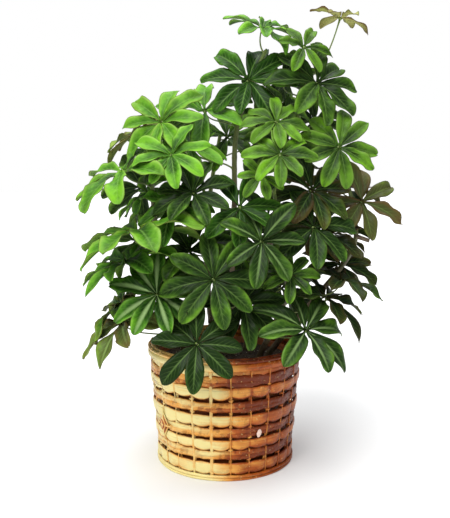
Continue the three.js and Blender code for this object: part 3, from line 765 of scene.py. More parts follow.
STEMS = (
    StemRow(
        "left_front",
        226,
        6.5,
        ((-62, -45, 186), (-88, -62, 260), (-108, -74, 340), (-112, -78, 420)),
        (
            LeafRow((-112, -150, 334), 84, 9, 58, 262, 10, 0.42, 0.0, 0.0, 0.95),
            LeafRow((-166, -105, 382), 96, 8, 26, 200, 10, 0.66),
            LeafRow((-178, -90, 272), 92, 8, 42, 215, 20, 0.36, 0.7, 0.15, 0.35),
            LeafRow((-144, -134, 436), 116, 8, 22, 205, -5, 0.82, 0.25),
            LeafRow((-84, -112, 478), 76, 7, 40, 250, 15, 0.55),
            LeafRow((-184, -44, 300), 94, 7, 42, 190, 0, 0.45, 0.5),
        ),
        Slot.LEAF_YOUNG,
    ),
    StemRow(
        "left",
        345,
        6.5,
        ((-55, 15, 186), (-95, 5, 300), (-125, -20, 440), (-128, -35, 540), (-118, -40, 600)),
        (
            LeafRow((-109, -60, 618), 82, 8, 55, 245, 5, 1.0, 0.25),
            LeafRow((-89, -112, 561), 72, 8, 45, 255, 20, 0.95),
            LeafRow((-172, -90, 534), 102, 8, 34, 215, 10, 0.92, 0.2),
            LeafRow((-160, 30, 600), 78, 8, 28, 175, 0, 0.75, 0.9, 0.40, 0.0),
            LeafRow((-140, -12, 494), 74, 7, 40, 200, 12, 0.80),
            LeafRow((-170, 60, 400), 90, 7, 60, 150, 12, 0.60),
            LeafRow((-100, 34, 612), 80, 7, 30, 120, 12, 0.95),
        ),
        Slot.LEAF_YOUNG,
    ),
    StemRow(
        "centre_front",
        226,
        6,
        ((-8, -62, 186), (-14, -82, 280), (-22, -88, 400), (-36, -78, 500)),
        (
            LeafRow((-45, -190, 260), 82, 8, 62, 270, 44, 0.0, 0.0, 0.0, 0.05),
            LeafRow((-19, -160, 360), 88, 8, 66, 276, 8, 0.44),
            LeafRow((-53, -125, 498), 72, 8, 50, 262, 27, 0.26),
            LeafRow((30, -125, 315), 84, 8, 62, 286, 0, 0.20),
            LeafRow((-60, -100, 400), 84, 8, 50, 240, 0, 0.40),
        ),
    ),
    StemRow(
        "centre",
        405,
        7,
        ((8, 20, 186), (14, 14, 320), (17, 0, 480), (20, -5, 600), (48, 0, 690), (72, 4, 745)),
        (
            LeafRow((-36, 4, 640), 97, 8, 38, 245, 16, 0.85),
            LeafRow((41, -14, 692), 90, 8, 54, 262, 38, 0.18),
            LeafRow((66, 0, 784), 72, 8, 30, 310, 10, 0.85),
            LeafRow((-60, -50, 576), 72, 8, 42, 262, 10, 0.90),
            LeafRow((24, -114, 474), 80, 7, 55, 276, 12, 0.22),
            LeafRow((104, 6, 642), 80, 7, 34, 20, 12, 0.60),
        ),
        Slot.LEAF_YOUNG,
    ),
    StemRow(
        "right_front",
        226,
        6,
        ((55, -50, 186), (84, -72, 260), (108, -80, 330), (96, -84, 420), (84, -80, 500)),
        (
            LeafRow((134, -146, 272), 92, 8, 44, 308, -8, 0.35, 0.0, 0.0, 0.4),
            LeafRow((110, -125, 362), 52, 7, 55, 275, 0, 0.55),
            LeafRow((90, -122, 561), 62, 8, 52, 270, 0, 1.0),
            LeafRow((61, -112, 527), 44, 7, 60, 270, 25, 0.95),
            LeafRow((150, -100, 440), 80, 7, 50, 290, 0, 0.18),
            LeafRow((60, -140, 420), 80, 7, 60, 280, 0, 0.40, 0.0, 0.0, 0.3),
            LeafRow((204, -70, 344), 78, 8, 16, 335, 0, 0.12, 0.3),
            LeafRow((180, -60, 310), 90, 7, 30, 335, 10, 0.12, 0.35),
        ),
    ),
    StemRow(
        "right",
        296,
        6.5,
        ((78, 8, 186), (160, 2, 290), (222, 0, 370), (240, 0, 420), (226, 0, 500), (206, -14, 550)),
        (
            LeafRow((196, -64, 575), 74, 9, 72, 280, 0, 0.92),
            LeafRow((248, 0, 478), 84, 7, 60, 288, 22, 0.24, 0.8, 0.12, 0.0),
            LeafRow((226, 56, 504), 80, 7, 34, 310, 0, 0.26, 0.9),
            LeafRow((172, -30, 419), 82, 8, 25, 290, 0, 0.12, 0.75),
            LeafRow((218, 30, 358), 74, 8, 38, 300, 0, 0.12, 0.55),
            LeafRow((200, 44, 418), 80, 7, 30, 20, 0, 0.18, 0.7),
        ),
        stub=((238, 0, 416), (264, -2, 407)),
    ),
    StemRow(
        "right_tall",
        430,
        7,
        ((40, 52, 186), (78, 48, 360), (112, 30, 540), (136, 16, 640), (150, 8, 700)),
        (
            LeafRow((162, -22, 686), 92, 8, 58, 290, 42, 0.46),
            LeafRow((203, 0, 801), 56, 6, 16, 0, 30, 0.75, 0.95, 0.85, 0.0),
            LeafRow((138, -20, 748), 54, 6, 50, 280, 0, 0.85),
            LeafRow((86, -84, 616), 60, 8, 48, 276, 0, 1.0),
            LeafRow((168, 66, 624), 74, 7, 50, 50, 0, 0.55),
            LeafRow((120, 100, 590), 92, 7, 50, 95, 0, 0.70),
            LeafRow((150, -60, 500), 80, 8, 55, 290, 0, 0.16, 0.5),
            LeafRow((110, 90, 700), 84, 7, 35, 90, 0, 0.60),
        ),
    ),
    StemRow(
        "back",
        236,
        7,
        ((-22, 70, 186), (-36, 105, 340), (-30, 118, 480), (-10, 112, 600)),
        (
            LeafRow((-112, 150, 592), 90, 7, 50, 120, 0, 0.65),
            LeafRow((84, 180, 600), 84, 7, 56, 80, 0, 0.35),
            LeafRow((-165, 125, 500), 92, 7, 62, 120, 0, 0.5),
            LeafRow((44, 210, 396), 88, 7, 62, 90, 0, 0.25),
            LeafRow((90, 190, 440), 92, 7, 62, 65, 0, 0.25),
            LeafRow((4, 120, 598), 84, 7, 50, 268, 0, 0.55),
            LeafRow((30, 200, 310), 92, 7, 70, 80, 0, 0.2),
            LeafRow((-110, 140, 310), 92, 7, 66, 130, 0, 0.25),
            LeafRow((112, 128, 296), 92, 7, 62, 50, 0, 0.12),
        ),
    ),
)

SWAY_STEPS = (0.6180339887, 0.7548776662, 0.5698402910)
LEAF_PLACES = 16


def sway(leaf: int, leaflet: int, salt: int) -> float:
    """Gives a small difference between -1 and 1, fixed for each leaflet."""
    turns = (leaf * LEAF_PLACES + leaflet + 1) * SWAY_STEPS[salt]
    return 2 * (turns - math.floor(turns)) - 1


class StemCourse:
    """The middle line and girth of a stem from its hole in the soil to its top."""

    ROOTED = 110.0
    BURIED = 30.0
    UNDER_SOIL = 36.0
    TOP_GIRTH = 0.5
    STEPS = 12

    def __init__(self, row: StemRow) -> None:
        """Works out the course of one stem.

        Args:
            row: The stem's row in the table.
        """
        self.row = row
        x, y, z = row.path[0]
        foot = Vector((x, y, self.ROOTED - self.BURIED))
        rooted = [foot, Vector((x, y, z - self.UNDER_SOIL)), *map(Vector, row.path)]
        ends = [rooted[0] * 2 - rooted[1], *rooted, rooted[-1] * 2 - rooted[-2]]
        self.course: list[Vector] = []
        for before, start, end, after in zip(ends, ends[1:], ends[2:], ends[3:]):
            leaving = (end - before) * 0.5
            arriving = (after - start) * 0.5
            curve = (start - end) * 2 + leaving + arriving
            turn = (end - start) * 3 - leaving * 2 - arriving
            for step in range(self.STEPS):
                t = step / self.STEPS
                self.course.append(start + leaving * t + turn * t**2 + curve * t**3)
        self.course.append(rooted[-1])
        self.top = float(row.path[-1][2])

    def at(self, z: float) -> Vector:
        """Gives the middle of the stem at a height.

        Args:
            z: The height.

        Returns:
            The middle.
        """
        index = next((i for i, point in enumerate(self.course) if point.z >= z), len(self.course) - 1)
        below, above = self.course[max(index, 1) - 1], self.course[max(index, 1)]
        return below.lerp(above, (z - below.z) / (above.z - below.z))

    def radius(self, z: float) -> float:
        """Gives the stem's radius at a height."""
        share = (z - self.ROOTED) / (self.top - self.ROOTED)
        return self.row.girth * (1 + (self.TOP_GIRTH - 1) * share)


@dataclass
class LeafShape:
    """The proportions that all the leaves share."""

    width: float = 0.36
    foot_half: float = 1.2
    foot_share: float = 0.08
    widening: float = 0.95
    rounding: float = 0.68
    widest: float = 0.33
    reach_sway: float = 0.1
    lift: float = 14.0
    lift_sway: float = 8.0
    bend: float = 34.0
    bend_sway: float = 14.0
    turn_sway: float = 6.0
    sag: float = 0.16
    fold: float = 18.0
    cupped_fold: float = 1.45
    rib_steps: int = 20
    solid_steps: tuple[int, int] = (8, 16)
    stalk_radius: float = 1.9
    stalk_taper: float = 0.3
    stalk_drop: float = 0.45
    stalk_pull: Place = (0.26, 0.23, 0.38)
    stalk_steps: int = 12
    foot_swelling: Pair = (1.1, 0.05)
    hub_swelling: Pair = (0.9, 0.07)
    knob: float = 3.7
    hub_half: float = 2.2
    rib_half: float = 0.8
    across: int = 6
    along: int = 14
    tip_crowding: float = 1.6
    thickness: float = 0.6
    snug: float = 0.6
    lifts: tuple[float, ...] = (0, 6, -6, 12, -12, 18, -18, 26, -26, 34, -34)
    starts: tuple[float, ...] = (0, -15, 15, -30, 30, -45, 45)


SHAPE = LeafShape()


def half_width(t: float, width: float) -> float:
    """Gives half a leaflet's width at a share of its length: narrow foot, round tip."""
    s = max(0.0, (t - SHAPE.foot_share) / (1 - SHAPE.foot_share))
    return SHAPE.foot_half + (width / 2) * s**SHAPE.widening * (1 - s) ** SHAPE.rounding / SHAPE.widest


class Midrib:
    """The middle line of one leaflet, arching over and sagging from the hub."""

    def __init__(self, leaf: "Leaf", k: int, clearing: float) -> None:
        """Works out the midrib of leaflet k with an extra lift that clears its neighbours.

        Args:
            leaf: The leaf.
            k: The leaflet's number.
            clearing: The extra lift in degrees.
        """
        out = leaf.spoke(leaf.turn_of(k))
        self.reach = leaf.row.reach * (1 + SHAPE.reach_sway * sway(leaf.index, k, 1))
        lift = math.radians(SHAPE.lift + SHAPE.lift_sway * sway(leaf.index, k, 2) + clearing)
        bend = math.radians(SHAPE.bend + SHAPE.bend_sway * sway(leaf.index, k, 1))
        forward = out * math.cos(lift) + leaf.facing * math.sin(lift)
        upward = leaf.facing * math.cos(lift) - out * math.sin(lift)
        self.flat = leaf.facing.cross(out)
        self.directions = []
        for step in range(SHAPE.rib_steps + 1):
            t = step / SHAPE.rib_steps
            way = forward * math.cos(bend * t) - upward * math.sin(bend * t) - UP * (SHAPE.sag * t)
            self.directions.append(way.normalized())
        self.points = [leaf.hub.copy()]
        for here, there in zip(self.directions, self.directions[1:]):
            self.points.append(self.points[-1] + (here + there) * (self.reach / (2 * SHAPE.rib_steps)))

    def frame_at(self, t: float) -> tuple[Vector, Vector, Vector]:
        """Gives the middle, the way across and the way up at a share of the length.

        Args:
            t: The share of the length, from 0 at the hub.

        Returns:
            The middle, the way across and the way up.
        """
        place = min(t * SHAPE.rib_steps, SHAPE.rib_steps - 1e-6)
        index = int(place)
        share = place - index
        middle = self.points[index].lerp(self.points[index + 1], share)
        direction = self.directions[index].lerp(self.directions[index + 1], share).normalized()
        across = (self.flat - direction * direction.dot(self.flat)).normalized()
        return middle, across, direction.cross(across)

    def landmarks(self) -> list[Vector]:
        """Gives the corners that the solid leaflet has along its rib.

        Returns:
            The tip, then the rib and both margins at each of two places.
        """
        marks = [self.points[SHAPE.rib_steps]]
        for step in SHAPE.solid_steps:
            middle, across, over = self.frame_at(step / SHAPE.rib_steps)
            half = half_width(step / SHAPE.rib_steps, SHAPE.width * self.reach)
            rise = over * (half * math.sin(math.radians(SHAPE.fold)))
            reach = across * (half * math.cos(math.radians(SHAPE.fold)))
            marks += [middle + over * SHAPE.rib_half, middle + reach + rise, middle - reach + rise]
        return marks


class Leaf:
    """One palmate leaf on its stalk."""

    LOOKS = ("tone", "scorch", "yellow", "ribbed")

    def __init__(self, index: int, stem: StemCourse, row: LeafRow, solid: KDTree) -> None:
        """Works out how the leaf faces, and which stalk and leaflets its solid has.

        Args:
            index: The leaf's number in the whole plant.
            stem: The stem that it grows on.
            row: The leaf's row in the table.
            solid: The corners of the stem's solid leaves.
        """
        self.index = index
        self.stem = stem
        self.row = row
        self.hub = Vector(row.hub)
        tilt, heading = math.radians(row.tilt), math.radians(row.heading)
        self.facing = polar(math.sin(tilt), heading, math.cos(tilt))
        self.across = UP.cross(self.facing).normalized()
        self.along = self.facing.cross(self.across)
        stalks = [self.stalk(shift) for shift in SHAPE.starts]
        self.course = min(stalks, key=lambda course: self.misfit(course, solid))
        ribs = [self.matching(k, solid) for k in range(row.count)]
        self.ribs = [rib for rib in ribs if rib is not None]

    def spoke(self, turn: float) -> Vector:
        """Gives the way out from the hub at a turn."""
        return self.across * math.cos(turn) + self.along * math.sin(turn)

    def turn_of(self, k: int) -> float:
        """Gives the turn of leaflet k about the hub."""
        own = SHAPE.turn_sway * sway(self.index, k, 0)
        return math.radians(self.row.roll + 360 * k / self.row.count + own)

    def stalk(self, shift: float) -> tuple[Vector, Vector, Vector, Vector]:
        """Gives the curve of a stalk that starts a little higher or lower on the stem.

        Args:
            shift: How much higher on the stem it starts.

        Returns:
            The four points of the curve.
        """
        level = self.stem.at(min(self.hub.z, self.stem.top))
        spread = math.hypot(self.hub.x - level.x, self.hub.y - level.y)
        height = self.hub.z - SHAPE.stalk_drop * spread + shift
        start = self.stem.at(min(max(height, self.stem.row.woody_to + 6), self.stem.top - 4))
        end = self.hub - self.facing * SHAPE.hub_half
        length = (end - start).length
        flat = end - start
        flat.z = 0.0
        outwards, upwards, arriving = SHAPE.stalk_pull
        leaving = start + flat.normalized() * (outwards * length) + UP * (upwards * length)
        return start, leaving, end - self.facing * (arriving * length), end

    def misfit(self, course: tuple[Vector, ...], solid: KDTree) -> float:
        """Gives how far the solid's stalk rings lie from where this curve puts them.

        Args:
            course: The four points of the curve.
            solid: The corners of the stem's solid leaves.

        Returns:
            The sum of the distances.
        """
        total = 0.0
        a, b, c, d = course
        for share in (1 / 3, 2 / 3):
            rest = 1 - share
            middle = a * rest**3 + b * (3 * rest**2 * share) + c * (3 * rest * share**2) + d * share**3
            near = solid.find_n(middle, 3)
            mean = sum((found[0] for found in near), Vector()) / 3
            radius = SHAPE.stalk_radius * (1 - SHAPE.stalk_taper * share)
            total += (mean - middle).length + sum(abs(found[2] - radius) for found in near)
        return total

    def matching(self, k: int, solid: KDTree) -> Midrib | None:
        """Gives the midrib that the solid's leaflet k follows, or None where it has none.

        Args:
            k: The leaflet's number.
            solid: The corners of the stem's solid leaves.

        Returns:
            The midrib, or None.
        """
        best, best_gap = None, SHAPE.snug
        for clearing in SHAPE.lifts:
            rib = Midrib(self, k, clearing)
            gaps = sorted(solid.find(mark)[2] for mark in rib.landmarks())
            if gaps[2] < best_gap:
                best, best_gap = rib, gaps[2]
        return best

    def draw_blades(self, bm: Draft) -> None:
        """Adds the leaflets as single sheets with their map and the looks of their leaf.

        Args:
            bm: The mesh that takes the leaflets.
        """
        layers = [bm.verts.layers.float[look] for look in self.LOOKS]
        sheet = bm.loops.layers.uv["blade"]
        for k, rib in enumerate(self.ribs):
            grid = {"x_segments": SHAPE.across, "y_segments": SHAPE.along, "size": 0.5}
            made = bmesh.ops.create_grid(bm, **grid)["verts"]
            faces = list({face for vert in made for face in vert.link_faces})
            bmesh.ops.reverse_faces(bm, faces=faces)
            for face in faces:
                for loop in face.loops:
                    loop[sheet].uv = (loop.vert.co.x + 0.5, loop.vert.co.y + 0.5)
            # Each leaflet's painted light and shade differs a little from its leaf's tone.
            shift = 0.20 * sway(self.index + 3, k, 1)
            burnt = self.row.scorch * (0.6 + 0.4 * sway(self.index, k + 5, 0))
            looks = (self.row.tone + shift, burnt, self.row.yellow, self.row.ribbed)
            ripple = Ripple.of(self.index, k, rib.reach)
            for vert in made:
                for layer, look in zip(layers, looks):
                    vert[layer] = look
                vert.co = ripple.placed(rib, vert.co.x * 2, 1 - (0.5 - vert.co.y) ** SHAPE.tip_crowding)

    def draw_stalk(self, bm: Draft) -> None:
        """Adds the stalk, swollen at both ends, and the knob where the leaflets meet.

        Args:
            bm: The mesh that takes the stalk.
        """
        age = bm.verts.layers.float["age"]
        points = interpolate_bezier(*self.course, SHAPE.stalk_steps)
        radii = []
        for i in range(len(points)):
            share = i / (len(points) - 1)
            slim = SHAPE.stalk_radius * (1 - SHAPE.stalk_taper * share) * 0.85
            ends = ((share, SHAPE.foot_swelling), (1 - share, SHAPE.hub_swelling))
            radii.append(slim + sum(size * math.exp(-((away / span) ** 2)) for away, (size, span) in ends))
        # Stalks of leaves with a low tone, which holds painted shade as well as age, are browner.
        browning = 0.07 if self.row.tone < 0.5 else -0.15
        for vert in sweep_round(bm, points, radii, 7):
            vert[age] = browning
        turn = self.facing.to_track_quat("Z", "Y").to_matrix().to_4x4()
        placed = Matrix.Translation(self.hub - self.facing * 0.6) @ turn @ Matrix.Diagonal((1, 1, 0.7, 1))
        knob = bmesh.ops.create_icosphere(bm, subdivisions=2, radius=SHAPE.knob, matrix=placed)
        for vert in knob["verts"]:
            vert[age] = -0.25


@dataclass(frozen=True)
class Ripple:
    """How one leaflet's blade waves and cups."""

    waves: float
    height: float
    phase: float
    twist: float
    curl: float

    @classmethod
    def of(cls, leaf: int, k: int, reach: float) -> "Ripple":
        """Gives the ripple that belongs to one leaflet.

        Args:
            leaf: The leaf's number in the whole plant.
            k: The leaflet's number.
            reach: The leaflet's length.

        Returns:
            The ripple.
        """
        return cls(
            waves=2.0 + 0.7 * sway(leaf, k + 7, 2),
            height=reach * (0.036 + 0.014 * sway(leaf, k + 3, 0)),
            phase=math.pi * sway(leaf, k + 9, 1),
            twist=math.radians(14 * sway(leaf, k + 2, 2)),
            curl=0.16 + 0.12 * sway(leaf, k + 4, 1),
        )

    def placed(self, rib: Midrib, u: float, t: float) -> Vector:
        """Gives the place of a point of the blade.

        Args:
            rib: The leaflet's midrib.
            u: The place across, from -1 at one margin to 1 at the other.
            t: The share of the length, from 0 at the hub.

        Returns:
            The point.
        """
        middle, across, over = rib.frame_at(t)
        half = half_width(t, SHAPE.width * rib.reach)
        fold = math.radians(SHAPE.fold)
        cupped = self.curl * max(0.0, abs(u) - 0.5)
        rise = half * (SHAPE.cupped_fold * math.sin(fold) * abs(u) ** 1.1 - cupped)
        phase = self.phase * (1 if u > 0 else -1.3)
        rise += self.height * u * u * math.sin(FULL * self.waves * t + phase)
        turn = self.twist * t
        sideways = across * math.cos(turn) + over * math.sin(turn)
        upwards = over * math.cos(turn) - across * math.sin(turn)
        return middle + sideways * (u * half * math.cos(fold)) + upwards * rise


@dataclass
class Foliage:
    """All the stems of the plant with their leaves."""

    stalk_finish: StalkFinish = StalkFinish()
    bark_finish: BarkFinish = BarkFinish()
    # Each leaf finish runs from painted deep shade to painted full light.
    young: LeafFinish = LeafFinish(
        "young_leaf",
        deep=(0.013, 0.045, 0.005),
        dark=(0.032, 0.105, 0.009),
        fresh=(0.068, 0.210, 0.015),
        pale=(0.145, 0.380, 0.028),
        rib=(0.21, 0.42, 0.08),
        margin=(0.28, 0.52, 0.08),
    )
    young_back: LeafFinish = LeafFinish(
        "young_leaf_underside",
        deep=(0.016, 0.040, 0.008),
        dark=(0.036, 0.085, 0.014),
        fresh=(0.075, 0.165, 0.022),
        pale=(0.150, 0.300, 0.040),
        rib=(0.22, 0.34, 0.10),
        margin=(0.26, 0.40, 0.08),
        roughness=0.55,
        coat=0.0,
    )
    mature: LeafFinish = LeafFinish(
        "mature_leaf",
        deep=(0.012, 0.029, 0.006),
        dark=(0.025, 0.062, 0.010),
        fresh=(0.057, 0.132, 0.014),
        pale=(0.110, 0.250, 0.022),
        rib=(0.15, 0.27, 0.06),
        margin=(0.17, 0.30, 0.05),
    )
    mature_back: LeafFinish = LeafFinish(
        "mature_leaf_underside",
        deep=(0.014, 0.030, 0.009),
        dark=(0.028, 0.060, 0.014),
        fresh=(0.060, 0.120, 0.020),
        pale=(0.110, 0.220, 0.030),
        rib=(0.16, 0.25, 0.08),
        margin=(0.16, 0.25, 0.06),
        roughness=0.58,
        coat=0.0,
    )
    scar_spacing: float = 23.0
    shoot_end: float = 5.0
    stub_radius: float = 4.3
    stub_steps: int = 6

    def build(self) -> None:
        """Builds every stem and its leaves."""
        stalk = self.stalk_finish.make()
        bark = self.bark_finish.make()
        faces = {
            Slot.LEAF_YOUNG: [self.young.make(), self.young_back.make()],
            Slot.LEAF_MATURE: [self.mature.make(), self.mature_back.make()],
        }
        index = 0
        for row in STEMS:
            stem = StemCourse(row)
            solid = self.corners(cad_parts[f"leaves_{row.name}"])
            leaves = [Leaf(index + i, stem, leaf_row, solid) for i, leaf_row in enumerate(row.leaves)]
            index += len(leaves)
            self.blades(row, leaves, faces[row.slot])
            self.shoots(row, stem, leaves, stalk)
            self.trunk(row, stem, bark)

    def corners(self, node: bpy.types.Object) -> KDTree:
        """Gives a search tree of a solid's corners, in millimetres.

        Args:
            node: The solid.

        Returns:
            The search tree.
        """
        tree = KDTree(len(node.data.vertices))
        for vert in node.data.vertices:
            tree.insert(vert.co / METRE, vert.index)
        tree.balance()
        return tree

    def blades(self, row: StemRow, leaves: Sequence[Leaf], faces: Sequence[Material]) -> None:
        """Makes the leaflets of one stem, with a paler underside.

        Args:
            row: The stem's row in the table.
            leaves: The stem's leaves.
            faces: The finishes of the top and the underside.
        """
        bm = bmesh.new()
        for look in Leaf.LOOKS:
            bm.verts.layers.float.new(look)
        bm.loops.layers.uv.new("blade")
        for leaf in leaves:
            leaf.draw_blades(bm)
        piece = finished(bm, f"leaflets_{row.name}", [f"leaves_{row.name}"], faces)
        wall = piece.modifiers.new("thickness", "SOLIDIFY")
        wall.thickness = SHAPE.thickness * METRE
        wall.offset = 0.0
        wall.material_offset = 1

    def shoots(self, row: StemRow, stem: StemCourse, leaves: Sequence[Leaf], stalk: Material) -> None:
        """Makes the green shoot of one stem with its leaf stalks.

        Args:
            row: The stem's row in the table.
            stem: The stem's course.
            leaves: The stem's leaves.
            stalk: The finish.
        """
        bm = bmesh.new()
        age = bm.verts.layers.float.new("age")
        heights = self.levels(row.woody_to, stem.top, 7.0)
        points = [stem.at(z) for z in heights]
        radii = [stem.radius(z) * (1 + 0.10 * self.scar(z)) for z in heights]
        points.append(points[-1] + (points[-1] - points[-2]).normalized() * self.shoot_end)
        radii.append(radii[-1] * 0.35)
        span = stem.top - row.woody_to
        for vert in sweep_round(bm, points, radii, 10):
            vert[age] = 0.85 - 1.05 * (vert.co.z - row.woody_to) / span
        for leaf in leaves:
            leaf.draw_stalk(bm)
        finished(bm, f"stalks_{row.name}", [f"leaves_{row.name}"], [stalk])

    def trunk(self, row: StemRow, stem: StemCourse, bark: Material) -> None:
        """Makes the bare wood of one stem, ringed by old leaf scars.

        Args:
            row: The stem's row in the table.
            stem: The stem's course.
            bark: The finish.
        """
        bm = bmesh.new()
        heights = self.levels(stem.ROOTED, row.woody_to + 3, 6.0)
        points = [stem.at(z) for z in heights]
        radii = []
        for z, point in zip(heights, points):
            swelling = 1.0 + 0.05 * self.scar(z * 1.15) + 0.06 * wave(point, 0.05)
            radii.append(stem.radius(z) * swelling)
        made = sweep_round(bm, points, radii, 14)
        if row.stub:
            start, end = (Vector(point) for point in row.stub)
            steps = range(self.stub_steps + 1)
            course = [start.lerp(end, step / self.stub_steps) for step in steps]
            made += sweep_round(bm, course, [self.stub_radius - 0.1 * step for step in steps], 12)
        for vert in made:
            if vert.normal.length > 0.5:
                vert.co += vert.normal * (0.25 * wave(vert.co, 0.22))
        finished(bm, f"trunk_{row.name}", [f"stem_{row.name}"], [bark])

    def levels(self, low: float, high: float, spacing: float) -> list[float]:
        """Gives even heights from low to high, about a spacing apart."""
        count = max(2, round((high - low) / spacing))
        return [low + (high - low) * i / count for i in range(count + 1)]

    def scar(self, z: float) -> float:
        """Gives the swelling where an old leaf sat, between 0 and 1."""
        return max(0.0, math.sin(FULL * z / self.scar_spacing)) ** 3


# Soil and nursery pot


@dataclass
class PottingSoil:
    """The peat mix that the stems stand in, with chips and perlite on it."""

    floor: float = 11.6
    top: float = 186.0
    crown: float = 4.0
    foot_radius: float = 109.5
    top_radius: float = 125.0
    rings: int = 26
    facets: int = 96
    grains: int = 420
    seed: int = 11
    perlite_share: float = 0.3
    perlite_sizes: Pair = (0.8, 1.7)
    perlite_flatness: float = 0.9
    chip_sizes: Pair = (1.2, 3.4)
    chip_flatness: Pair = (0.35, 0.6)
    chips: GritFinish = GritFinish("bark_chips", (0.14, 0.075, 0.04), (0.03, 0.018, 0.012))
    perlite: GritFinish = GritFinish("perlite", (0.72, 0.70, 0.64), (0.40, 0.37, 0.31))

    def build(self) -> None:
        """Builds the soil and the grains on it."""
        bm = bmesh.new()
        profile = [(0.0, self.floor), (self.foot_radius, self.floor)]
        for i in range(self.rings + 1):
            rise = self.crown * math.sin(math.pi / 2 * i / self.rings)
            profile.append((self.top_radius * (1 - i / self.rings), self.top + rise))
        for vert in spin_profile(bm, profile, self.facets, closed=False):
            if vert.co.z > self.top - 1 and math.hypot(vert.co.x, vert.co.y) < self.top_radius - 1:
                vert.co.z += 1.6 * wave(vert.co, 0.045) + 1.1 * wave(vert.co, 0.19, 4.0)
        finished(bm, "soil_bed", ["soil"], [SoilFinish().make()])
        self.scatter()

    def scatter(self) -> None:
        """Strews the grains over the soil."""
        draw = random.Random(self.seed)
        bm = bmesh.new()
        for _ in range(self.grains):
            reach = (self.top_radius - 5) * math.sqrt(draw.random())
            place = polar(reach, draw.uniform(0, FULL))
            place.z = self.top + self.crown * math.cos(math.pi / 2 * reach / self.top_radius) + 0.6
            white = draw.random() < self.perlite_share
            size = draw.uniform(*(self.perlite_sizes if white else self.chip_sizes))
            flat = self.perlite_flatness if white else draw.uniform(*self.chip_flatness)
            spun = Matrix.Rotation(draw.uniform(0, 6.28), 4, "Z")
            tipped = Matrix.Rotation(draw.uniform(-0.5, 0.5), 4, "X")
            shape = Matrix.Diagonal((1.0, draw.uniform(0.6, 1.0), flat, 1.0))
            placed = Matrix.Translation(place) @ (spun @ tipped) @ shape
            made = bmesh.ops.create_icosphere(bm, subdivisions=1, radius=size, matrix=placed)["verts"]
            for vert in made:
                vert.co += Vector([draw.uniform(-0.2, 0.2) for _ in range(3)]) * size
            for face in {face for vert in made for face in vert.link_faces}:
                face.material_index = 1 if white else 0
        finished(bm, "soil_grains", ["soil"], [self.chips.make(), self.perlite.make()])


@dataclass
class NurseryPot:
    """The thin brown pot inside the basket, with a rolled lip."""

    floor: float = 8.3
    top: float = 197.0
    foot_radius: float = 113.0
    top_radius: float = 128.2
    lip: float = 2.6
    lip_height: float = 8.0
    wall: float = 2.0
    floor_thickness: float = 3.0
    facets: int = 96

    def build(self) -> None:
        """Builds the pot."""
        bm = bmesh.new()
        top, radius, inner_foot = self.top, self.top_radius, self.foot_radius - self.wall
        outer = radius + self.lip
        profile = [
            (0.0, self.floor),
            (self.foot_radius - 2, self.floor),
            (self.foot_radius, self.floor + 2),
            (radius - 1.2, top - self.lip_height - 0.5),
            (outer - 0.8, top - self.lip_height),
            (outer, top - self.lip_height + 1),
            (outer, top - 1),
            (outer - 1.2, top),
            (radius - 0.6, top),
            (radius - self.wall, top - 1.4),
            (inner_foot, self.floor + self.floor_thickness + 1),
            (inner_foot - 2, self.floor + self.floor_thickness),
            (0.0, self.floor + self.floor_thickness),
        ]
        spin_profile(bm, profile, self.facets, closed=False)
        finished(bm, "plastic_pot", ["nursery_pot"], [PlasticFinish().make()])


# Basket


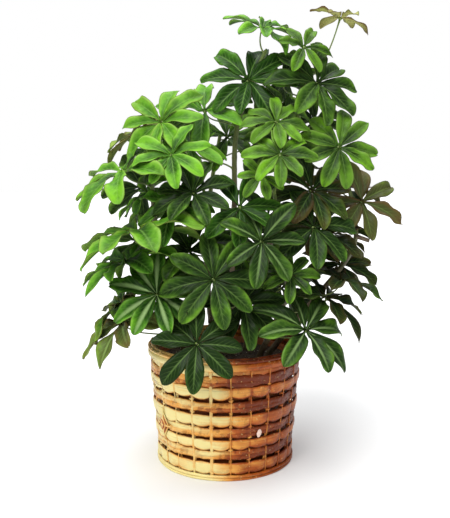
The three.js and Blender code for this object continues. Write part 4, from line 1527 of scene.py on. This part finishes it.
@dataclass
class SplintBasket:
    """The woven basket: bands of splint between stakes and thin outer ties."""

    height: float = 221.0
    foot_radius: float = 124.0
    rim_radius: float = 142.0
    tie_count: int = 24
    tie_phase: float = 4.5
    splint_heights: tuple[Pair, ...] = ((12.5, 33), (59, 75), (101, 120), (152, 170))
    splint_depth: float = 2.1
    splint_foot: float = 11.2
    splint_droop: float = 1.8
    splint_rise: float = 0.6
    splint_slack: float = 2.2
    splint_pinch: Pair = (4.6, 2.2)
    splint_rough: float = 0.5
    bow: float = 2.6
    splint_section: tuple[Pair, ...] = (
        (-2.2, 0.0),
        (-0.9, -0.02),
        (-0.15, 0.05),
        (0.45, 0.16),
        (0.75, 0.35),
        (0.85, 0.55),
        (0.65, 0.78),
        (0.2, 0.93),
        (-0.8, 1.0),
        (-2.2, 0.98),
        (-2.4, 0.5),
    )
    weaver_heights: tuple[Pair, ...] = ((41, 54), (82, 95), (128, 142), (173, 189))
    weaver_stains: tuple[float, ...] = (-0.04, -0.02, 0.04, 0.22)
    weaver_depth: float = 6.1
    weaver_bow: float = 3.2
    strand_half: Pair = (2.3, 0.37)
    strand_rough: Pair = (0.85, 0.7)
    stake_depth: float = 5.0
    inner_stake_depth: float = 7.4
    stake_foot: float = 5.0
    stake_length: float = 200.5
    stake_steps: int = 24
    stake_half: Pair = (0.9, 3.0)
    tie_steps: int = 56
    tie_half: Pair = (0.8, 1.2)
    broad_ties: Pair = (2.1, 2.9)
    gap_inset: float = 1.8
    hidden_inset: float = 4.8
    proud_inset: float = 0.8
    binding_inset: float = 2.4
    binding_section: tuple[tuple[float, float, float, float], ...] = (
        (-4.2, -1.2, 0.7, 1.1),
        (-2.4, 0.9, 0.8, 1.5),
        (0.0, 1.5, 0.8, 1.7),
        (2.4, 0.9, 0.8, 1.5),
        (4.2, -1.2, 0.7, 1.1),
    )
    knot_angle: float = -63.3
    knot_height: float = 84.0
    knot_lean: float = 12.0
    knot_size: Place = (4.5, 2.6, 9.0)
    knot_proud: float = 0.6
    foot_hoops: tuple[Place, ...] = ((2.5, 124.6, 2.5), (7.7, 125.0, 2.6))
    floor_section: tuple[Pair, ...] = ((0.0, 0.4), (123.0, 0.4), (123.0, 7.8), (0.0, 7.8))
    rim_canes: tuple[tuple[float, float, float, float], ...] = (
        (205.6, 138.0, 5.4, 7.0),
        (207.0, 133.0, 2.2, 6.0),
        (194.6, 134.4, 1.2, 6.2),
    )
    rim_strands: tuple[tuple[float, float, float, float], ...] = (
        (215.0, 138.6, 4.6, 3.2),
        (217.8, 135.0, 3.0, 2.8),
        (212.8, 134.0, 3.0, 4.0),
    )
    whip_middle: Pair = (137.2, 215.0)
    whip_half: Pair = (5.4, 5.2)
    whip_slant: float = 2.2
    whip_steps: int = 16
    whip_size: Pair = (0.6, 1.5)
    lashing_height: float = 86.0
    lashing_tie: int = -4
    lashing_half: Pair = (16.0, 22.0)
    lashing_turns: tuple[Place, ...] = (
        (1.0, 0.6, 0.05),
        (0.8, 1.9, 0.55),
        (0.6, 3.1, 0.05),
        (0.42, 4.2, 0.5),
        (0.26, 4.0, 0.75),
    )
    lashing_cord: Pair = (1.0, 1.7)
    lashing_side_steps: int = 4
    lashing_arms: Pair = (24.0, 30.0)
    lashing_arm_steps: int = 6
    lashing_arm_half: Pair = (0.9, 2.4)
    lashing_proud: float = 1.0
    wall_lean: float = 0.0814
    steps: int = 192
    spin_radius: float = 100.0
    spin_height: float = 10.0
    # The third number of each finish is how far painted shade darkens it towards the right.
    pale: SplintFinish = SplintFinish("pale_splint", -0.02, 0.74, 0.50, (9.0, 9.0, 330.0))
    russet: SplintFinish = SplintFinish("russet_splint", 0.20, 0.88, 1.0, (9.0, 9.0, 330.0))
    cane: SplintFinish = SplintFinish("upright_cane", 0.22, 0.46, 0.3, (260.0, 260.0, 12.0))
    hoop: SplintFinish = SplintFinish("hoop_cane", 0.04, 0.74, 0.6, (9.0, 9.0, 260.0))
    blush: SplintFinish = SplintFinish(
        "knot_cane", 0.10, 0.0, 0.2, (260.0, 260.0, 40.0), (0.88, 0.66, 0.56), (0.66, 0.34, 0.25)
    )

    def wall(self, z: float) -> float:
        """Gives the radius of the wall's outer face at a height."""
        return self.foot_radius + (self.rim_radius - self.foot_radius) * z / self.height

    def turn(self, k: float) -> float:
        """Gives the angle of a tie's place about the Z axis."""
        return math.radians(-90 + self.tie_phase + 360 / self.tie_count * k)

    def nearest(self, angle: float, start: float) -> int:
        """Gives which tie's place, counted from a start, lies nearest to an angle."""
        return round((angle - self.turn(start)) / FULL * self.tie_count)

    def bay(self, angle: float) -> float:
        """Gives 0 at a tie and 1 midway between two ties."""
        return abs(math.sin((angle - self.turn(0)) * self.tie_count / 2))

    def stations(self, count: int, start: float = 0.0) -> list[tuple[float, Vector]]:
        """Gives even angles round the basket from a start, each with its way outwards."""
        angles = [start + FULL * step / count for step in range(count)]
        return [(angle, polar(1.0, angle)) for angle in angles]

    def build(self) -> None:
        """Builds the basket from the foot up."""
        pale, russet = self.pale.make(), self.russet.make()
        cane, hoop = self.cane.make(), self.hoop.make()
        for i, heights in enumerate(self.splint_heights):
            self.splint(i, heights, pale)
        for i, heights in enumerate(self.weaver_heights):
            self.weaver(i, heights, russet)
        self.uprights(cane)
        self.knot(self.blush.make())
        self.foot(hoop)
        self.rim(hoop, russet)
        self.lashing(cane)

    def splint(self, index: int, heights: Pair, finish: Material) -> None:
        """Makes one wide band, puffed between the ties like a row of pillows.

        Args:
            index: The band's number, from the foot up.
            heights: The band's lowest and highest level.
            finish: The finish.
        """
        bottom, top = heights
        low_pinch, high_pinch = self.splint_pinch
        bm = bmesh.new()
        crease_shade = bm.verts.layers.float.new("crease_shade")
        profile = [(self.spin_radius + out, share * self.spin_height) for out, share in self.splint_section]
        for vert in spin_profile(bm, profile, 2 * self.steps):
            angle = math.atan2(vert.co.y, vert.co.x)
            ring = polar(1.0, angle)
            out = math.hypot(vert.co.x, vert.co.y) - self.spin_radius
            share = vert.co.z / self.spin_height
            tightness = wave(Vector((self.nearest(angle, 0) * 4.3, index * 2.7, 0.5)))
            hold = min(1.0, 0.85 + 0.5 * tightness)
            puff = 1 - hold * (1 - self.bay(angle) ** 0.6)
            belly = 1 - hold * (1 - self.bay(angle))
            uneven = wave(Vector((self.nearest(angle, 0.5) * 3.7, index * 5.1, 0.5)))
            full = 0.5 - 0.5 * ring.x
            edge = wave(ring, 3.1, index * 5.3)
            lower = bottom - self.splint_droop - full - self.splint_slack * uneven * belly
            lower = max(lower + 1.2 * edge + low_pinch * (1 - belly), self.splint_foot)
            upper = top + 1.3 * wave(ring, 2.6, index * 3.1 + 9) + 0.8 * wave(ring, 9, index)
            upper += self.splint_rise + 0.8 * full - high_pinch * (1 - belly)
            z = lower + (upper - lower) * share
            swell = (self.bow + 0.8 * uneven) * puff + (0.4 + 0.9 * puff) * out
            rough = self.splint_rough * wave(ring * 5 + UP * z * 0.05, seed=index)
            vert.co = polar(self.wall(z) - self.splint_depth + swell + rough, angle, z)
            # Painted shade with gathered varnish: darkest on the inner face and in the pinches at the ties,
            # also along the lower and upper edges.
            pinch_shade = 0.95 * max(0.0, 1 - 1.7 * puff)
            edges = max(0.95 * (1 - share / 0.2), 0.7 * (share - 0.84) / 0.16)
            vert[crease_shade] = 1.0 if out < -0.5 else max(pinch_shade, edges, 0.0)
        finished(bm, f"wide_splint_{index + 1}", [f"splint_band_{index + 1}"], [finish])

    def weaver(self, index: int, heights: Pair, finish: Material) -> None:
        """Makes one narrow band of two rough strands that lie behind the stakes.

        Args:
            index: The band's number, from the foot up.
            heights: The band's lowest and highest level.
            finish: The finish.
        """
        bottom, top = heights
        thick, tall = self.strand_half
        half = (top - bottom) * tall
        thick_rough, tall_rough = self.strand_rough
        bm = bmesh.new()
        stain = bm.verts.layers.float.new("stain")
        crease_shade = bm.verts.layers.float.new("crease_shade")
        for strand in range(2):
            middle = bottom - 0.8 + (top - bottom) * (0.25 + 0.5 * strand)
            seed = index * 7.7 + strand * 2.9
            points, sizes = [], []
            for angle, ring in self.stations(2 * self.steps, self.turn(0)):
                woven = math.sin((angle - self.turn(0)) * self.tie_count / 4)
                z = middle + 1.2 * wave(ring, 4.2, seed) + 0.9 * wave(ring, 16, seed)
                z += 0.9 * (1 - 2 * strand) * woven
                bulge = self.weaver_bow * abs(woven) ** 0.8 * (1 + 0.3 * wave(ring, 6, seed + 3))
                radius = self.wall(z) - (self.weaver_depth - 0.2 - bulge)
                points.append(Vector((radius * ring.x, radius * ring.y, z)))
                wide = half * (1.05 - 0.10 * ring.x + 0.28 * wave(ring, 10, seed + 5))
                rough = wave(ring, 21, seed) + 0.6 * wave(ring, 47, seed + 8)
                sizes.append((thick + thick_rough * rough, wide + tall_rough * wave(ring, 38, seed + 6)))
            for vert, flat in self.ring(bm, points, sizes, 10):
                vert[stain] = self.weaver_stains[index] + 0.06 * (1 - 2 * strand)
                # Painted shade with gathered varnish along each strand's upper and lower edges.
                vert[crease_shade] = max(0.0, abs(flat) - 0.55) * 1.6
        finished(bm, f"narrow_weaver_{index + 1}", [f"weaver_band_{index + 1}"], [finish])

    def ring(
        self, bm: Draft, points: Sequence[Vector], sizes: Sequence[Pair], sides: int = 12
    ) -> list[tuple[Corner, float]]:
        """Draws a closed hoop with a flattened section, its thickness facing outwards.

        Args:
            bm: The mesh that takes the hoop.
            points: The middle of the hoop, anticlockwise.
            sizes: The half thickness and half height at each point.
            sides: The number of corners in the section.

        Returns:
            Each new vertex with its height in the section, from -1 to 1.
        """
        turns = [FULL * i / sides for i in range(sides)]
        profile = [(self.spin_radius + math.cos(turn), math.sin(turn)) for turn in turns]
        placed = []
        for vert in spin_profile(bm, profile, len(points)):
            angle = math.atan2(vert.co.y, vert.co.x)
            place = round(angle / FULL * len(points)) % len(points)
            thick, wide = sizes[place]
            middle, flat = points[place], vert.co.z
            out = (math.hypot(vert.co.x, vert.co.y) - self.spin_radius) * thick
            vert.co = polar(math.hypot(middle.x, middle.y) + out, angle, middle.z + flat * wide)
            placed.append((vert, flat))
        return placed

    def uprights(self, finish: Material) -> None:
        """Makes the stakes behind the bands, the ties in front, and their bindings in the gaps.

        Args:
            finish: The finish.
        """
        bm = bmesh.new()
        for k in range(self.tie_count):
            ring = polar(1.0, self.turn(k))
            side = Vector((-ring.y, ring.x, 0.0))
            self.tie(bm, k, ring, side)
            depth = self.stake_depth if k % 2 == 0 else self.inner_stake_depth
            heights = self.stake_heights(self.stake_steps)
            points = [ring * (self.wall(z) - depth) + UP * z for z in heights]
            thick, wide = self.stake_half
            sweep_course(bm, points, [(thick, wide + 0.3 * wave(p, 0.05)) for p in points], 8, ring)
            for z in self.gap_heights():
                if wave(ring * 9 + UP * z * 0.3, seed=2.0) > 0.1:
                    self.binding(bm, ring, side, z)
        finished(bm, "ties_and_stakes", ["basket_frame"], [finish])

    def stake_heights(self, count: int) -> list[float]:
        """Gives even heights up the stakes."""
        return [self.stake_foot + self.stake_length * i / count for i in range(count + 1)]

    def gap_heights(self) -> list[float]:
        """Gives the middle of each dark gap between two bands."""
        bands = sorted([*self.splint_heights, *self.weaver_heights])
        return [(lower[1] + upper[0]) / 2 for lower, upper in zip(bands, bands[1:])]

    def tie(self, bm: Draft, k: int, ring: Vector, side: Vector) -> None:
        """Makes one outer tie, pressed in over each gap.

        Args:
            bm: The mesh that takes the tie.
            k: The tie's number.
            ring: The way outwards at the tie.
            side: The level way across the tie.
        """
        points, sizes = [], []
        thick, wide = self.tie_half
        broad = wide + 0.6 * wave(ring, 30)
        if k >= self.tie_count - len(self.broad_ties):
            broad = self.broad_ties[k - self.tie_count]
        for z in self.stake_heights(self.tie_steps):
            inset = self.gap_inset
            for band, (low, high) in enumerate(self.splint_heights):
                if low - 2 < z < high + 2:
                    hidden = wave(ring * 17 + UP * (1.3 * band), seed=4.0) > 0.16
                    inset = self.hidden_inset if hidden else self.proud_inset
            sideways = 1.5 * wave(UP * z * 0.02 + ring * 8, seed=3.0)
            points.append(ring * (self.wall(z) - inset) + side * sideways + UP * z)
            sizes.append((thick, broad * (1 + 0.22 * wave(UP * z * 0.08 + ring * 5, seed=7.0))))
        sweep_course(bm, points, sizes, 8, ring)

    def binding(self, bm: Draft, ring: Vector, side: Vector, z: float) -> None:
        """Makes one small wrap round a tie in a gap.

        Args:
            bm: The mesh that takes the wrap.
            ring: The way outwards at the tie.
            side: The level way across the tie.
            z: The middle of the gap.
        """
        middle = ring * (self.wall(z) - self.binding_inset) + UP * (z + 0.8 * wave(ring * 7 + UP * z))
        lean = 1.6 * wave(ring * 13 + UP * z, seed=5.0)
        points, sizes = [], []
        for across, out, thick, wide in self.binding_section:
            points.append(middle + side * across + UP * (lean * across / 4) + ring * out)
            sizes.append((thick, wide))
        sweep_course(bm, points, sizes, 7, ring)

    def knot(self, finish: Material) -> None:
        """Makes the one pale lozenge knot on the right of the front.

        Args:
            finish: The finish.
        """
        bm = bmesh.new()
        angle = math.radians(self.knot_angle)
        middle = polar(1.0, angle) * (self.wall(self.knot_height) + self.knot_proud)
        middle.z = self.knot_height
        upright = Matrix.Rotation(angle + math.pi / 2, 4, "Z")
        turn = upright @ Matrix.Rotation(math.radians(self.knot_lean), 4, "Y")
        placed = Matrix.Translation(middle) @ turn @ Matrix.Diagonal((*self.knot_size, 1.0))
        for vert in bmesh.ops.create_icosphere(bm, subdivisions=4, radius=1.0, matrix=placed)["verts"]:
            away = vert.co - middle
            pointed = 1 - 0.20 * abs(away.z) / self.knot_size[2]
            vert.co = middle + away * (pointed + 0.10 * wave(vert.co, 0.35))
        finished(bm, "lozenge_knot", ["basket_frame"], [finish])

    def foot(self, finish: Material) -> None:
        """Makes the two hoops at the foot and the floor inside them.

        Args:
            finish: The finish.
        """
        bm = bmesh.new()
        for level, radius, half in self.foot_hoops:
            grounded = level <= half
            points = []
            for _, ring in self.stations(self.steps):
                if grounded:
                    lift = max(0.0, 0.35 * wave(ring, 4, level + 1))
                else:
                    lift = 0.5 * wave(ring, 4, level)
                points.append(ring * (radius + 0.5 * wave(ring, 5, level)) + UP * (level + lift))
            self.ring(bm, points, [(half + 0.3, half)] * self.steps)
        spin_profile(bm, self.floor_section, self.steps // 2, closed=False)
        finished(bm, "foot_hoops_and_floor", ["basket_frame"], [finish])

    def rim(self, finish: Material, binding: Material) -> None:
        """Makes the rolled rim: a thick smooth hoop below and rough dark hoops, bound on top.

        Args:
            finish: The finish of the canes.
            binding: The finish of the bound top.
        """
        bm = bmesh.new()
        self.rolls(bm, self.rim_canes)
        finished(bm, "rim_hoops", ["basket_frame"], [finish])
        bm = bmesh.new()
        self.rolls(bm, self.rim_strands)
        for k in range(self.tie_count):
            self.whipping(bm, self.turn(k + 0.5 * wave(Vector((k * 3.3, 0.0, 0.0)))))
        finished(bm, "rim_binding", ["basket_frame"], [binding])

    def rolls(self, bm: Draft, hoops: Sequence[tuple[float, float, float, float]]) -> None:
        """Makes rolled hoops.

        Args:
            bm: The mesh that takes the hoops.
            hoops: Each hoop's level, radius, half thickness and half height.
        """
        for level, radius, thick, wide in hoops:
            points, sizes = [], []
            for _, ring in self.stations(self.steps):
                reach = radius + 0.6 * wave(ring, 6, level)
                points.append(ring * reach + UP * (level + 0.6 * wave(ring, 5, radius)))
                sizes.append((thick * (1 + 0.08 * wave(ring, 12, level)), wide))
            self.ring(bm, points, sizes)

    def whipping(self, bm: Draft, angle: float) -> None:
        """Makes one slanting wrap round the rim's dark top.

        Args:
            bm: The mesh that takes the wrap.
            angle: Its place round the rim.
        """
        radius, level = self.whip_middle
        out, rise = self.whip_half
        points = []
        for step in range(self.whip_steps):
            turn = FULL * step / self.whip_steps
            around = angle + math.radians(self.whip_slant) * math.sin(turn)
            points.append(polar(radius + out * math.cos(turn), around, level + rise * math.sin(turn)))
        sweep_course(bm, points, [self.whip_size] * self.whip_steps, 6, polar(1.0, angle), loop=True)

    def lashing(self, finish: Material) -> None:
        """Makes the diamond lashing on the left: nested square turns over crossed splints.

        Args:
            finish: The finish.
        """
        bm = bmesh.new()
        stain = bm.verts.layers.float.new("stain")
        ring = polar(1.0, self.turn(self.lashing_tie))
        side = Vector((-ring.y, ring.x, 0.0))
        lean = Vector((ring.x * self.wall_lean, ring.y * self.wall_lean, 1.0)).normalized()
        centre = ring * (self.wall(self.lashing_height) + self.lashing_proud) + UP * self.lashing_height
        broad, tall = self.lashing_half
        for share, out, darkness in self.lashing_turns:
            across, upright = side * (broad * share), lean * (tall * share)
            corners = [across, upright, -across, -upright]
            points = []
            for start, end in zip(corners, corners[1:] + corners[:1]):
                for step in range(self.lashing_side_steps):
                    side_place = start.lerp(end, step / self.lashing_side_steps)
                    points.append(centre + ring * out + side_place * (1 - 0.03 * (step > 0)))
            for vert in sweep_course(bm, points, [self.lashing_cord] * len(points), 7, ring, loop=True):
                vert[stain] = darkness
        along, up = self.lashing_arms
        thick, wide = self.lashing_arm_half
        for way, reach in ((side, along), (-side, along), (lean, up), (-lean, up)):
            points, sizes = [], []
            for step in range(self.lashing_arm_steps + 1):
                dip = ring * (4.6 - 5.2 * (step / self.lashing_arm_steps) ** 1.5)
                points.append(centre + way * (reach * step / self.lashing_arm_steps) + dip)
                sizes.append((thick, wide - 0.15 * step))
            sweep_course(bm, points, sizes, 7, ring)
        finished(bm, "diamond_lashing", ["basket_lashing"], [finish])


# Room


@dataclass(frozen=True)
class Lamp:
    """One broad far lamp: where its light comes from, its width in degrees, strength and colour."""

    name: str
    come_from: Place
    spread: float
    strength: float
    colour: Colour


@dataclass
class Studio:
    """Pale floor, soft light and the camera at the photograph's place."""

    camera_place: Place = (0.0, -1.346, 0.549)
    camera_pitch: float = 0.13
    focal_pixels: float = 738.0
    picture_height: float = 518.0
    sensor: float = 36.0
    fill: float = 0.20
    fill_colour: Colour = (0.93, 0.97, 1.0)
    floor_half: float = 12.0
    lamp_reach: float = 3.0
    lamps: tuple[Lamp, ...] = (
        Lamp("key", (-0.50, -1.0, 1.40), 46.0, 2.9, (1.0, 0.995, 0.975)),
        Lamp("top", (0.0, 0.22, 1.0), 66.0, 2.6, (1.0, 1.0, 1.0)),
    )

    def build(self) -> None:
        """Builds the room, its lights and its camera."""
        self.floor()
        self.sky()
        for lamp in self.lamps:
            self.sun(lamp)
        bpy.context.scene.view_settings.view_transform = "Standard"
        self.camera()

    def floor(self) -> None:
        """Makes the floor."""
        bm = bmesh.new()
        bmesh.ops.create_grid(bm, x_segments=2, y_segments=2, size=self.floor_half)
        mesh = bpy.data.meshes.new("floor")
        bm.to_mesh(mesh)
        bm.free()
        mesh.materials.append(FloorFinish().make())
        floor = bpy.data.objects.new("floor", mesh)
        bpy.context.scene.collection.objects.link(floor)

    def sky(self) -> None:
        """Makes the room's even light, which looks white from the camera and fills more softly."""
        world = bpy.data.worlds.new("studio")
        world.use_nodes = True
        tree = world.node_tree
        fill = tree.nodes["Background"]
        fill.inputs["Color"].default_value = (*self.fill_colour, 1.0)
        fill.inputs["Strength"].default_value = self.fill
        white = tree.nodes.new("ShaderNodeBackground")
        white.inputs["Color"].default_value = (1.0, 1.0, 1.0, 1.0)
        path = tree.nodes.new("ShaderNodeLightPath")
        chosen = tree.nodes.new("ShaderNodeMixShader")
        tree.links.new(path.outputs["Is Camera Ray"], chosen.inputs[0])
        tree.links.new(fill.outputs[0], chosen.inputs[1])
        tree.links.new(white.outputs[0], chosen.inputs[2])
        tree.links.new(chosen.outputs[0], tree.nodes["World Output"].inputs["Surface"])
        bpy.context.scene.world = world

    def sun(self, lamp: Lamp) -> None:
        """Hangs one lamp.

        Args:
            lamp: The lamp.
        """
        data = bpy.data.lights.new(lamp.name, "SUN")
        data.angle = math.radians(lamp.spread)
        data.energy = lamp.strength
        data.color = lamp.colour
        holder = bpy.data.objects.new(lamp.name, data)
        holder.location = Vector(lamp.come_from) * self.lamp_reach
        holder.rotation_euler = (-Vector(lamp.come_from)).to_track_quat("-Z", "Y").to_euler()
        bpy.context.scene.collection.objects.link(holder)

    def camera(self) -> None:
        """Places the camera."""
        data = bpy.data.cameras.new("camera")
        data.sensor_width = self.sensor
        data.lens = self.focal_pixels / self.picture_height * data.sensor_width
        holder = bpy.data.objects.new("camera", data)
        holder.location = self.camera_place
        holder.rotation_euler = (math.pi / 2 - self.camera_pitch, 0.0, 0.0)
        bpy.context.scene.collection.objects.link(holder)
        bpy.context.scene.camera = holder


def main() -> None:
    """Builds the plant, its basket and the room in order."""
    logging.basicConfig(level=logging.INFO, format="%(message)s")
    builders: tuple[tuple[str, Callable[[], None]], ...] = (
        ("basket", SplintBasket().build),
        ("nursery pot", NurseryPot().build),
        ("soil", PottingSoil().build),
        ("foliage", Foliage().build),
        ("studio", Studio().build),
    )
    for name, build in builders:
        build()
        log.info("built the %s", name)


if __name__ == "__main__":
    main()
